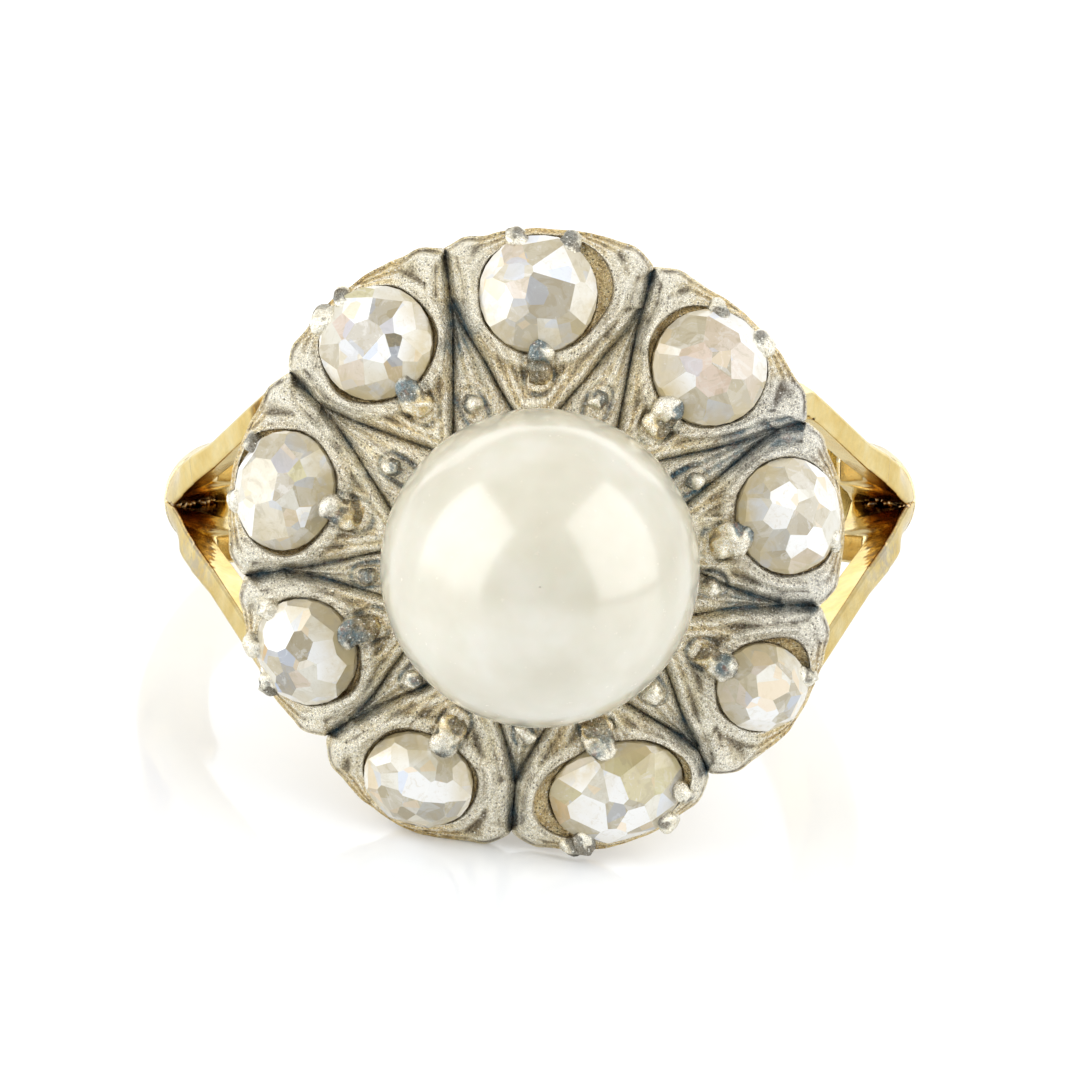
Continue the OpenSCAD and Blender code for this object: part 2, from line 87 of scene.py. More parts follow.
# Gaps after each diamond: apex angle and reach, notch angle and reach, both groove ends, bead angle
GAPS = [
    (66.7, 7.00, 67.8, 8.00, 87.0, 57.3, 70.0),
    (26.3, 7.10, 25.0, 7.80, 44.2, 18.8, 28.4),
    (-13.6, 6.65, -12.4, 7.60, -1.0, -25.2, -7.9),
    (-52.3, 6.90, -53.7, 7.60, -33.7, -65.7, -49.3),
    (-95.9, 6.30, -95.6, 7.75, -78.8, -113.5, -94.7),
    (-137.3, 6.90, -137.8, 7.65, -125.5, -150.3, -136.5),
    (-174.9, 6.90, -173.8, 7.90, -161.7, -186.2, -175.2),
    (-213.0, 7.00, -214.5, 8.10, -192.6, -229.7, -213.0),
    (-250.2, 7.00, -252.0, 8.30, -230.7, -262.5, -246.5),
]
# Claws: diamond, angle from straight outward, size, how much further out it stands
CLAWS = [
    (1, 19, 1.0, 0), (1, -33, 1.2, 0), (1, 180, 1.1, 0),
    (2, 31, 1.0, 0), (2, -23, 1.1, 0), (2, 180, 1.1, 0),
    (3, 191, 1.2, 0), (3, -35, 0.8, 0),
    (4, 180, 1.1, 0), (4, 46, 0.9, 0),
    (5, 180, 1.2, 0), (5, -48, 1.35, 0.2), (5, 40, 1.0, 0), (5, 71, 1.0, 0),
    (6, 176, 1.1, 0),
    (7, -27, 1.1, 0), (7, 17, 1.3, 0), (7, -71, 1.1, 0), (7, 180, 1.2, 0),
    (8, -41, 1.0, 0), (8, 23, 0.9, 0), (8, 176, 1.2, 0),
    (9, 28, 1.1, 0), (9, 0, 0.9, 0), (9, 178, 1.1, 0),
]
# Tarnish of the valley after each diamond: blue-black, and plain grey
VALLEYS = [(0.35, 0.3), (1.0, 1.0), (0.6, 0.7), (0.45, 0.4), (0.4, 0.25),
           (0.3, 0.2), (0.35, 0.4), (0.3, 0.3), (0.8, 0.2)]

STONE_TILT = math.radians(22)
DOME_Z = 13.8
DOME_FALL = 2.05
RIM_R = 8.1
HEART_Y = -0.27
PEARL_R = 4.25
PEARL_Z = 14.7
GROOVE_END_REACH = 3.7
BEAD_REACH = 4.49
UNDER_Z = 11.0
UNDER_R = 6.9
UNDER_RISE = 0.45
EDGE_R = 8.9
HUB_R = 4.4
HUB_Z = 10.0
FINGER_R = 8.65
HOOP_R = 10.4
HOOP_RISE = 0.35
HOOP_W = 2.4
HOOP_CROWN_R = 1.4
DRILL_HOLE_R = 0.44
POST_DEPTH = 2.4
CLEARANCE = 0.04
HEART = np.array([0, HEART_Y])
# Lowest height of a piece above the floor, and distance at which points are merged
LOWEST = 0.002
MERGE = 0.0005


def ring_to_row(points):
    """Millimetres in the ring's own frame to metres in the shared frame."""
    return CENTRE + MM * (np.asarray(points, float) @ AXES)


def norm(v):
    return np.linalg.norm(v, axis=-1)


def unit(v):
    return v / np.maximum(norm(v)[..., None], 1e-9)


def level(plan):
    """Points of a plan as points in space at height 0."""
    return np.concatenate([plan, plan[..., :1] * 0], -1)


def circle(r, z, around):
    """Points at each turn in around, in radians. Radius and height may vary."""
    return np.stack([r * np.cos(around), r * np.sin(around), np.broadcast_to(z, around.shape)], -1)


def polar(reach, angle):
    """Point of a plan at an angle in degrees."""
    a = np.radians(angle)
    return np.stack([reach * np.cos(a), reach * np.sin(a)], -1)


def smooth(x):
    x = np.clip(x, 0, 1)
    return x * x * (3 - 2 * x)


def bump(x, at, spread):
    return np.exp(-(((x - at) / spread) ** 2))


LATTICE = 32
LATTICE_SHIFT = 11.3


def noise(points, size, seed):
    """Smooth noise from -1 to 1 on points in millimetres, with features of that size."""
    table = np.random.default_rng(seed).uniform(-1, 1, (LATTICE,) * 3)
    q = np.asarray(points, float) / size + LATTICE_SHIFT
    low = np.floor(q).astype(int)
    f = smooth(q - low)
    total = 0
    for corner in itertools.product((0, 1), repeat=3):
        share = np.where(corner, f, 1 - f).prod(axis=-1)
        total = total + share * table[tuple(np.moveaxis((low + corner) % LATTICE, -1, 0))]
    return total


def fractal(points, size, seed, octaves=3):
    return sum(noise(points, size / 2 ** i, seed + i) / 1.8 ** i for i in range(octaves))


def dome(plan):
    return DOME_Z - DOME_FALL * (norm(plan) / RIM_R) ** 2


def stone_centre(k):
    return polar(STONES[k][1], STONES[k][0])


def stone_axes(k):
    """Outward, sideways and up for one diamond."""
    a = math.radians(STONES[k][0])
    ct, st = math.cos(STONE_TILT), math.sin(STONE_TILT)
    out = np.array([math.cos(a) * ct, math.sin(a) * ct, -st])
    side = np.array([-math.sin(a), math.cos(a), 0.0])
    return np.stack([out, side, np.cross(out, side)])


def stone_origin(k):
    return np.array([*stone_centre(k), dome(stone_centre(k))])


def stone_to_ring(k, local):
    return stone_origin(k) + np.asarray(local, float) @ stone_axes(k)


def girdle(k, angles, tilt=0.0):
    """Reach of a diamond's girdle at angles in radians from straight outward, seen at a tilt."""
    out, side = STONES[k][2] / 2 * math.cos(tilt), STONES[k][3] / 2
    return 1 / np.sqrt((np.cos(angles) / out) ** 2 + (np.sin(angles) / side) ** 2)


def turn_apart(a, b):
    return (a - b + 180) % 360 - 180


def pocket_width(k, angles):
    width = 0.01 + 0.015 * np.sin(np.radians(angles * 7 + 60 * k))
    for at, extra, spread in POCKET_GAPS[k]:
        width = width + extra * bump(turn_apart(angles, at), 0, spread)
    return width


def high_pass(values, reach, cyclic):
    """Height above the mean of the neighbours: positive on ridges, negative in creases."""
    rows, cols = values.shape
    wide = np.pad(values, ((reach, reach), (0, 0)), mode="edge")
    wide = np.pad(wide, ((0, 0), (reach, reach)), mode="wrap" if cyclic else "edge")
    span = range(2 * reach + 1)
    return values - sum(wide[i:i + rows, j:j + cols] for i in span for j in span) / len(span) ** 2


def soften(values, outer):
    """Painted crease shade counts less near the pearl, where the metal is polished."""
    return np.where(values < 0, values * (0.45 + 0.55 * outer), values)


def crest(x):
    """Sharp valleys at whole numbers and rounded ridges between them."""
    return (1 - np.abs(2 * (x - np.floor(x)) - 1)) ** 0.7


# Streaks in one turn round the pearl
STRAND_TURNS = 62
# How far apart two facets' views of the stone's inside lie, for each unit of colour
FACET_SHIFT = 17


def linked(name, data):
    thing = bpy.data.objects.new(name, data)
    bpy.context.scene.collection.objects.link(thing)
    return thing


class Mesh:
    """Grids of quads gathered into one mesh. A point's look is four shares that its material reads."""

    def __init__(self):
        self.points, self.faces, self.looks, self.reliefs = [], [], [], []

    def grid(self, points, looks, wrap_rows=False, wrap_cols=False, flip=False, relief=0.0):
        rows, cols = points.shape[:2]
        first = sum(len(p) for p in self.points)
        for r in range(rows if wrap_rows else rows - 1):
            for c in range(cols if wrap_cols else cols - 1):
                r2, c2 = (r + 1) % rows, (c + 1) % cols
                face = [first + i for i in (r * cols + c, r2 * cols + c, r2 * cols + c2, r * cols + c2)]
                self.faces.append(face[::-1] if flip else face)
        self.points.append(points.reshape(-1, 3))
        self.looks.append(np.broadcast_to(looks, (rows, cols, 4)).reshape(-1, 4))
        self.reliefs.append(np.broadcast_to(relief, (rows, cols)).ravel())

    def build(self, name, material):
        mesh = bpy.data.meshes.new(name)
        points = np.concatenate(self.points)
        placed = ring_to_row(points)
        placed[:, 2] = np.maximum(placed[:, 2], LOWEST * MM)
        mesh.from_pydata(placed.tolist(), [], self.faces)
        away = points[:, :2] - HEART
        reach = norm(away)[:, None]
        strands = np.concatenate([away / (reach + 0.05) * STRAND_TURNS, reach], 1)
        # The relief attribute is the height over the neighbours; the silver paints shade in its creases and
        # highlight on its ridges.
        for layer, kind, key, values in (("look", "FLOAT_COLOR", "color", np.concatenate(self.looks)),
                                         ("relief", "FLOAT", "value", np.concatenate(self.reliefs)),
                                         ("strands", "FLOAT_VECTOR", "vector", strands)):
            attribute = mesh.attributes.new(layer, kind, "POINT")
            attribute.data.foreach_set(key, values.astype(np.float32).ravel())
        bm = bmesh.new()
        bm.from_mesh(mesh)
        bmesh.ops.remove_doubles(bm, verts=bm.verts, dist=MERGE * MM)
        bm.to_mesh(mesh)
        bm.free()
        mesh.materials.append(material)
        mesh.polygons.foreach_set("use_smooth", [True] * len(mesh.polygons))
        mesh.update()
        return linked(name, mesh)


# Materials

class Nodes:
    """A material of nodes. A number or colour sets an input, and another node's output is linked to it."""

    def __init__(self, name):
        self.material = bpy.data.materials.new(name)
        self.material.use_nodes = True
        self.tree = self.material.node_tree
        self.shader = self.tree.nodes["Principled BSDF"]
        place = self.add("ShaderNodeTexCoord").outputs["Object"]
        self.mm = self.add("ShaderNodeMapping", {"Vector": place, "Scale": (1 / MM,) * 3}).outputs["Vector"]

    def feed(self, socket, value):
        if isinstance(value, bpy.types.NodeSocket):
            self.tree.links.new(value, socket)
        else:
            socket.default_value = (*value, 1) if socket.type == "RGBA" else value

    def add(self, kind, inputs=None, **settings):
        node = self.tree.nodes.new(kind)
        for key, value in settings.items():
            setattr(node, key, value)
        for key, value in (inputs or {}).items():
            self.feed(node.inputs[key], value)
        return node

    def noise(self, scale, detail=4, rough=0.6, distortion=0.0, at=None):
        return self.add("ShaderNodeTexNoise", {"Vector": at or self.mm, "Scale": scale, "Detail": detail,
                                               "Roughness": rough, "Distortion": distortion}).outputs["Fac"]

    def cells(self, scale, at=None):
        """Distance from the middle of the nearest cell, and that cell's random colour."""
        node = self.add("ShaderNodeTexVoronoi", {"Vector": at or self.mm, "Scale": scale})
        return node.outputs["Distance"], node.outputs["Color"]

    def split(self, colour):
        return list(self.add("ShaderNodeSeparateColor", {"Color": colour}).outputs)

    def attribute(self, name, output="Fac"):
        return self.add("ShaderNodeAttribute", attribute_name=name).outputs[output]

    def look(self):
        return *self.split(self.attribute("look", "Color")), self.attribute("look", "Alpha")

    def math(self, kind, a, b, clamp=False):
        return self.add("ShaderNodeMath", {0: a, 1: b}, operation=kind, use_clamp=clamp).outputs[0]

    def times(self, a, b, clamp=False):
        return self.math("MULTIPLY", a, b, clamp)

    def ramp(self, value, *stops):
        node = self.add("ShaderNodeValToRGB", {"Fac": value})
        elements = node.color_ramp.elements
        while len(elements) < len(stops):
            elements.new(0.5)
        for element, (at, colour) in zip(elements, stops):
            element.position = at
            element.color = (*colour, 1)
        return node.outputs["Color"]

    def range(self, value, a, b, c=0.0, d=1.0):
        """A value between a and b becomes one between c and d, and stays at the end that it passes."""
        return self.add("ShaderNodeMapRange", {"Value": value, "From Min": a, "From Max": b, "To Min": c,
                                               "To Max": d}).outputs["Result"]

    def mix(self, share, a, b):
        return self.add("ShaderNodeMix", {0: share, 6: a, 7: b}, data_type="RGBA").outputs[2]

    def bump(self, height, strength, distance, after=None):
        inputs = {"Height": height, "Strength": strength, "Distance": distance * MM}
        if after:
            inputs["Normal"] = after
        return self.add("ShaderNodeBump", inputs).outputs["Normal"]

    def set(self, **values):
        for key, value in values.items():
            self.feed(self.shader.inputs[key.replace("_", " ")], value)


def silver_material(name, grained):
    """Tarnished cast silver with streaks that run out from the pearl; worn parts have less grain."""
    n = Nodes(name)
    tarnish, gilt_and_gold_reflection, grey, bright = n.look()
    cavity = n.attribute("relief")
    turned = n.attribute("strands", "Vector")
    reach = n.add("ShaderNodeSeparateXYZ", {"Vector": turned}).outputs["Z"]
    strands = n.noise(1.0, 4, 0.7, 0.6, turned)
    near = n.range(reach, 5.6, 7.2, grained, 0.15 * grained)
    blotch = n.noise(1.1, 5, 0.65)
    patches = n.noise(4.2, 5, 0.72)
    grain = n.noise(14.0, 5, 0.8)
    fine = n.noise(25.0, 4, 0.75)
    distance, colour = n.cells(12.0)
    chance = n.split(colour)[0]
    pit = n.range(distance, 0.20, 0.42, 1.0, 0.0)
    hole = n.times(pit, n.range(chance, 0.42, 0.40, 0.0, 0.85 * grained))
    # Painted glints: a few pits turn nearly white.
    painted_glint = n.times(pit, n.range(chance, 0.80, 0.82, 0.0, 0.85))
    warm = n.ramp(blotch, (0.28, (0.56, 0.41, 0.17)), (0.42, (0.80, 0.66, 0.36)), (0.56, (0.94, 0.85, 0.58)),
                  (0.72, (0.98, 0.93, 0.75)))
    cool = n.ramp(patches, (0.34, (0.20, 0.21, 0.24)), (0.48, (0.48, 0.48, 0.47)), (0.62, (0.86, 0.85, 0.80)))
    gold = n.ramp(patches, (0.34, (0.50, 0.30, 0.07)), (0.5, (0.84, 0.62, 0.24)), (0.66, (0.97, 0.84, 0.50)))
    base = n.mix(gilt_and_gold_reflection, n.mix(grey, warm, cool), gold)
    # Painted highlight: ridges of the relief and the bright share turn cream.
    painted_highlight = n.math("ADD", n.range(cavity, 0.003, 0.026), bright, clamp=True)
    base = n.mix(n.times(painted_highlight, n.range(grain, 0.38, 0.54)), base, (0.98, 0.94, 0.81))
    dust = n.times(n.range(grain, 0.52, 0.38), n.range(patches, 0.62, 0.40, 0.25, 0.9))
    dust = n.times(dust, n.range(painted_highlight, 0.0, 1.0, 0.85, 0.25))
    base = n.mix(n.times(dust, grained), base, (0.22, 0.165, 0.09))
    base = n.mix(n.times(n.range(strands, 0.47, 0.38, 0.0, 0.42), near), base, (0.24, 0.16, 0.07))
    base = n.mix(n.times(n.range(strands, 0.52, 0.62, 0.0, 0.5), near), base, (0.99, 0.95, 0.80))
    # Painted shade: creases of the relief turn dark brown.
    painted_crease_shade = n.times(n.range(cavity, -0.004, -0.034), n.range(grain, 0.66, 0.36, 0.6, 1.0))
    base = n.mix(n.times(painted_crease_shade, 0.9), base, (0.085, 0.06, 0.035))
    stain = n.times(tarnish, n.range(n.noise(2.2, 5, 0.7), 0.34, 0.56), clamp=True)
    stain = n.times(stain, n.range(cavity, 0.03, -0.02, 0.15, 1.0))
    teal = n.ramp(n.noise(2.7, 4, 0.65), (0.36, (0.03, 0.035, 0.045)), (0.46, (0.04, 0.13, 0.18)),
                  (0.56, (0.14, 0.28, 0.35)), (0.66, (0.24, 0.13, 0.13)))
    base = n.mix(stain, base, teal)
    base = n.mix(n.range(fine, 0.46, 0.36, 0.0, 0.7 * grained), base, (0.16, 0.12, 0.075))
    base = n.mix(n.range(fine, 0.57, 0.66, 0.0, 0.7), base, (1.0, 0.97, 0.87))
    base = n.mix(n.times(painted_glint, n.range(stain, 0.0, 1.0, 1.0, 0.5)), base, (1.0, 0.98, 0.90))
    base = n.mix(n.times(hole, n.range(patches, 0.42, 0.58, 0.35, 1.0)), base, (0.055, 0.045, 0.03))
    normal = n.bump(n.noise(5.0, 5, 0.7), 0.6 * grained, 0.08)
    normal = n.bump(n.times(strands, near), 0.4, 0.035, normal)
    normal = n.bump(grain, 0.95 * grained, 0.055, normal)
    normal = n.bump(fine, 0.8 * grained, 0.025, normal)
    normal = n.bump(n.math("SUBTRACT", painted_glint, hole), 0.6, 0.03, normal)
    n.set(Base_Color=base, Metallic=n.range(stain, 0, 1, 1.0, 0.5), Normal=normal,
          Roughness=n.range(grain, 0.35, 0.65, 0.36, 0.18))
    return n.material


def gold_material():
    n = Nodes("yellow_gold")
    brown, solder, grey, bright = n.look()
    scratches = n.noise(16.0, 5, 0.75)
    base = n.ramp(n.noise(0.9, 4), (0.32, (0.76, 0.57, 0.22)), (0.5, (0.84, 0.68, 0.32)),
                  (0.68, (0.91, 0.79, 0.46)))
    patina = n.ramp(n.noise(3.4, 5, 0.75), (0.36, (0.08, 0.028, 0.004)), (0.47, (0.26, 0.11, 0.007)),
                    (0.57, (0.47, 0.23, 0.015)), (0.70, (0.80, 0.50, 0.10)))
    base = n.mix(brown, base, patina)
    base = n.mix(n.times(solder, n.range(scratches, 0.35, 0.6)), base, (0.30, 0.25, 0.22))
    base = n.mix(n.times(grey, n.range(n.noise(4.0, 4), 0.42, 0.58)), base, (0.36, 0.37, 0.44))
    base = n.mix(bright, base, (0.95, 0.87, 0.60))
    normal = n.bump(n.noise(3.0, 3), 0.2, 0.05, n.bump(scratches, 0.18, 0.02))
    n.set(Base_Color=base, Metallic=1.0, Roughness=n.range(scratches, 0.35, 0.65, 0.08, 0.20),
          Specular_Tint=(0.78, 0.73, 0.58), Normal=normal)
    return n.material


def pearl_material():
    n = Nodes("nacre")
    fine = n.noise(6.0, 5, 0.65)
    spots = n.cells(2.2)[0]
    base = n.ramp(n.noise(0.45, 3, 0.5), (0.35, (0.62, 0.585, 0.455)), (0.55, (0.68, 0.65, 0.525)),
                  (0.7, (0.73, 0.705, 0.60)))
    base = n.mix(n.times(n.range(fine, 0.62, 0.72), 0.25), base, (0.60, 0.53, 0.40))
    base = n.mix(n.range(spots, 0.0, 0.035, 0.5, 0.0), base, (0.45, 0.40, 0.29))
    normal = n.bump(n.noise(1.6, 4, 0.6), 0.10, 0.06, n.bump(fine, 0.05, 0.02))
    n.set(Base_Color=base, Roughness=n.range(fine, 0.3, 0.7, 0.20, 0.28), IOR=1.75, Coat_Weight=0.85,
          Coat_Roughness=0.14, Coat_IOR=1.75, Subsurface_Weight=0.12, Subsurface_Scale=0.001, Normal=normal)
    return n.material


def diamond_material():
    """Facet colours are painted reflections, and each facet shows another part of the same shards and
    streaks, as a cut stone does.
    """
    n = Nodes("old_cut_diamond")
    colour, painted_tone_share = n.attribute("look", "Color"), n.attribute("look", "Alpha")
    shift = {0: colour, 1: (FACET_SHIFT,) * 3, 2: n.mm}
    inside = n.add("ShaderNodeVectorMath", shift, operation="MULTIPLY_ADD").outputs["Vector"]
    shard, blue, orange = n.split(n.cells(1.7, inside)[1])
    shards = n.ramp(shard, (0.1, (0.50, 0.43, 0.28)), (0.35, (0.78, 0.71, 0.56)), (0.55, (0.93, 0.89, 0.80)),
                    (0.8, (0.99, 0.98, 0.95)))
    clear = n.range(painted_tone_share, 0.94, 0.66)
    tone = n.mix(n.times(clear, 0.38), colour, shards)
    streaks = n.noise(1.3, 6, 0.7, 1.6, inside)
    tone = n.mix(n.times(clear, n.range(streaks, 0.48, 0.42, 0.0, 0.5)), tone, (0.44, 0.36, 0.20))
    tone = n.mix(n.times(clear, n.range(streaks, 0.57, 0.60, 0.0, 0.5)), tone, (0.97, 0.95, 0.90))
    tone = n.mix(n.range(n.noise(4.0, 6, 0.75, 1.6), 0.46, 0.36, 0.0, 0.35), tone, (0.62, 0.54, 0.38))
    # Painted glints of fire: a few cells flash blue and orange.
    tone = n.mix(n.range(blue, 0.90, 0.91, 0.0, 0.4), tone, (0.60, 0.72, 0.97))
    tone = n.mix(n.range(orange, 0.92, 0.93, 0.0, 0.5), tone, (0.96, 0.72, 0.40))
    # Painted reflection of the gold setting near the girdle, most on the side towards the pearl.
    gilt_and_gold_reflection = n.times(n.attribute("rim"), n.range(n.noise(1.7, 4), 0.36, 0.56, 0.25, 0.95))
    tone = n.mix(gilt_and_gold_reflection, tone, (0.66, 0.53, 0.26))
    n.set(Base_Color=tone, Roughness=0.04, IOR=1.5, Coat_Weight=0.45, Coat_Roughness=0.01, Coat_IOR=2.0)
    glass = n.add("ShaderNodeBsdfGlass", {"IOR": 2.0, "Roughness": 0.0, "Color": (0.99, 0.985, 0.97)})
    both = n.add("ShaderNodeMixShader", {0: painted_tone_share, 1: glass.outputs[0], 2: n.shader.outputs[0]})
    n.feed(n.tree.nodes["Material Output"].inputs["Surface"], both.outputs[0])
    return n.material


def floor_material():
    n = Nodes("white_board")
    fine = n.noise(0.8, 3)
    white = n.ramp(fine, (0.3, (0.915, 0.935, 0.965)), (0.7, (0.925, 0.945, 0.975)))
    n.set(Base_Color=white, Roughness=n.range(fine, 0.3, 0.7, 0.07, 0.09), Emission_Color=(0.94, 0.97, 1.0),
          Emission_Strength=0.06)
    return n.material


SILVER = silver_material("antique_silver", 1.0)
WORN_SILVER = silver_material("worn_silver", 0.45)
GOLD = gold_material()
NACRE = pearl_material()
DIAMOND = diamond_material()


# Silver head

GROOVE_STEPS = 64
NOTCH_STEPS = 9
RIM_STEPS = 90
END_STEPS = 8
PETAL_ROWS = 36
WEDGE_COLS = 22
GROOVE_DEPTH = 0.42
GROOVE_SHARP = 0.055
GROOVE_SOFT = 0.30
GROOVE_BULGE = 0.10
LIP = 0.13
RIDGE = 0.105
RIDGE_STEP = 0.42
RIDGE_REACH = 1.15
FAN = 0.05
FAN_RIDGES = 3
PLATEAU = 0.10
POCKET_FOOT = -0.12
POCKET_FLOOR = -0.5
LOBE = 0.22
RIM_WALL = 0.14
RIM_DROP = 0.16
# Least metal beside a diamond, and the width at which its relief reaches full size
THIN_EDGE = 0.11
FULL_SPAN = 0.75
CLAW_R = 0.295
CLAW_OUT = 0.17
CLAW_GRIP = 0.26
INNER_SPREAD = 30
BEAD_R = 0.29
DRILL_DOT = (-4.48, 2.05)
DRILL_R = 0.11
LENS = (4.61, -0.89)
LENS_R = 0.47
UNDER_PEARL = 0.03
# Parts of a petal's outline
GROOVE, NOTCH, RIM, END = range(4)
NOTCH_DEPTH = 0.34


def apex(k):
    return polar(GAPS[k][1], GAPS[k][0])


def notch(k):
    return polar(GAPS[k][3], GAPS[k][2])


def groove_end(k, side):
    return polar(GROOVE_END_REACH, GAPS[k][4 + side]) + HEART


def groove(k, side):
    """Points of one groove, from the pearl to the apex."""
    a, c = groove_end(k, side), apex(k)
    middle = (a + c) / 2
    wedge_middle = (groove_end(k, 0) + groove_end(k, 1) + c) / 3
    b = middle + GROOVE_BULGE * unit(wedge_middle - middle)
    t = np.linspace(0, 1, GROOVE_STEPS + 1)[:, None]
    line = (1 - t) ** 2 * a + 2 * t * (1 - t) * b + t * t * c
    across = unit(c - a)[::-1] * [1, -1]
    sway = noise(level(line), 1.1, 40 + 2 * k + side)
    return line + across * (0.035 * sway * np.sin(np.pi * t[:, 0]))[:, None]


def rim(k):
    """The rim outside one diamond, from its clockwise notch to the other, without the last point."""
    before, after = GAPS[k - 1], GAPS[k]
    turn = (before[2] - after[2] + 720) % 360
    t = np.arange(RIM_STEPS) / RIM_STEPS
    top = STONES[k][1] + STONES[k][2] / 2 * math.cos(STONE_TILT) + RIM_WALL
    chord = after[3] * (1 - t) + before[3] * t
    hump = np.sin(np.pi * t) ** 0.6
    angle = after[2] + turn * t
    reach = chord + (top - chord) * hump
    wave = fractal(level(polar(reach, angle)), 0.7, 61, 2)
    lobes = 0.10 * (bump(t, 0.11, 0.06) + bump(t, 0.89, 0.06))
    return polar(reach + lobes + 0.05 * wave * np.sin(np.pi * t), angle), hump


def petal_outline(k):
    """Points round a petal, the part of the outline that each is on, and the rim's hump there."""
    right, left = groove(k, 0), groove(k - 1, 1)
    steps = np.linspace(0, 1, NOTCH_STEPS + 1)[:, None]
    up = apex(k) + (notch(k) - apex(k)) * steps
    down = notch(k - 1) + (apex(k - 1) - notch(k - 1)) * steps
    end = left[0] + (right[0] - left[0]) * np.linspace(0, 1, END_STEPS + 1)[:, None]
    edge, hump = rim(k)
    parts = [right[:-1], up[:-1], edge, down[:-1], left[:0:-1], end[:-1]]
    kind = np.repeat([GROOVE, NOTCH, RIM, NOTCH, GROOVE, END], [len(p) for p in parts])
    humps = np.zeros(len(kind))
    humps[kind == RIM] = hump
    return np.concatenate(parts), kind, humps


def segment_distance(p, a, b):
    d = b - a
    t = np.clip(((p - a) @ d) / (d @ d), 0, 1)
    return norm(p - (a + t[..., None] * d))


def under_pearl(plan, height):
    """Height kept below the pearl."""
    r = norm(plan - HEART)
    lower = PEARL_Z - np.sqrt(np.maximum(PEARL_R ** 2 - r ** 2, 0)) - UNDER_PEARL
    return np.where(r < PEARL_R, np.minimum(height, lower), height)


def relief_texture(plan):
    away = plan - HEART
    r = norm(away)
    angle = np.arctan2(away[..., 1], away[..., 0])
    rays = noise(np.stack([np.cos(angle) * 5, np.sin(angle) * 5, r * 0.25], -1), 0.33, 71)
    clouds = 0.028 * fractal(level(plan), 0.9, 5) + 0.016 * fractal(level(plan), 0.22, 9)
    return clouds + 0.030 * rays * smooth((7.2 - r) / 2)


def groove_cut(distance, depth):
    """A sharp line in a broad soft valley."""
    return depth * (0.52 * np.exp(-distance / GROOVE_SHARP) + 0.48 * bump(distance, 0, GROOVE_SOFT))


def segment_wave(plan):
    """Rounded lobes on both sides of each notch line."""
    lines = [segment_distance(plan, apex(k) * 0.97, notch(k) * 1.03) for k in range(len(GAPS))]
    return sum(LOBE * bump(d, 0.50, 0.33) for d in lines)


def bead_place(gap):
    """Place of the bead prong in a gap, and the way outward there."""
    p = polar(BEAD_REACH, gap[6]) + HEART
    return p, unit(p)


def claw_way(degrees):
    return np.array([*polar(1.0, degrees), 0])


def inner_claw(degrees):
    return abs(turn_apart(degrees, 180)) < INNER_SPREAD


def bead_cuts(plan):
    """Share of the bright V cuts on both sides of each bead prong."""
    total = 0
    for gap in GAPS:
        p, way = bead_place(gap)
        along = (plan - p) @ way
        across = (plan - p) @ [-way[1], way[0]]
        total = total + (bump(across, 0.32, 0.11) + bump(across, -0.32, 0.11)) * bump(along, -0.05, 0.42)
    return np.clip(total, 0, 1)


def point_marks(plan):
    """Height and tarnish of the drill dot with the lens-like disc, and the share of the disc."""
    dot = norm(plan - DRILL_DOT)
    lens = norm(plan - LENS)
    height = 0.07 * bump(lens, LENS_R, 0.07) + 0.05 * smooth(1 - lens / LENS_R) - 0.16 * bump(dot, 0, DRILL_R)
    return height, 0.9 * bump(dot, 0, 0.26), smooth((LENS_R - lens) / 0.08)


def claw_groove_and_shade(plan):
    """Groove round each inner claw and bead prong, also darkened there as painted shade."""
    total = 0
    for number, degrees, size, _ in CLAWS:
        if inner_claw(degrees):
            way = claw_way(degrees)
            reach = girdle(number - 1, math.radians(degrees))
            line = stone_to_ring(number - 1, [(reach + 0.75) * way, (reach - 0.1) * way])
            d = segment_distance(plan, line[0, :2], line[1, :2])
            total = total + bump(d, CLAW_R * size * 1.25, 0.075)
    for gap in GAPS:
        p = bead_place(gap)[0]
        total = total + bump(segment_distance(plan, p * 0.96, p * 1.05), 0.34, 0.07)
    return np.clip(total, 0, 1)


def valley_values(plan):
    """Tarnish and greyness from the nearest gaps."""
    angle = np.degrees(np.arctan2(plan[..., 1], plan[..., 0]))
    shares = [bump(turn_apart(angle, gap[0]), 0, 17) for gap in GAPS]
    total = sum(shares) + 1e-6
    return [sum(share * value for share, value in zip(shares, values)) / total for values in zip(*VALLEYS)]


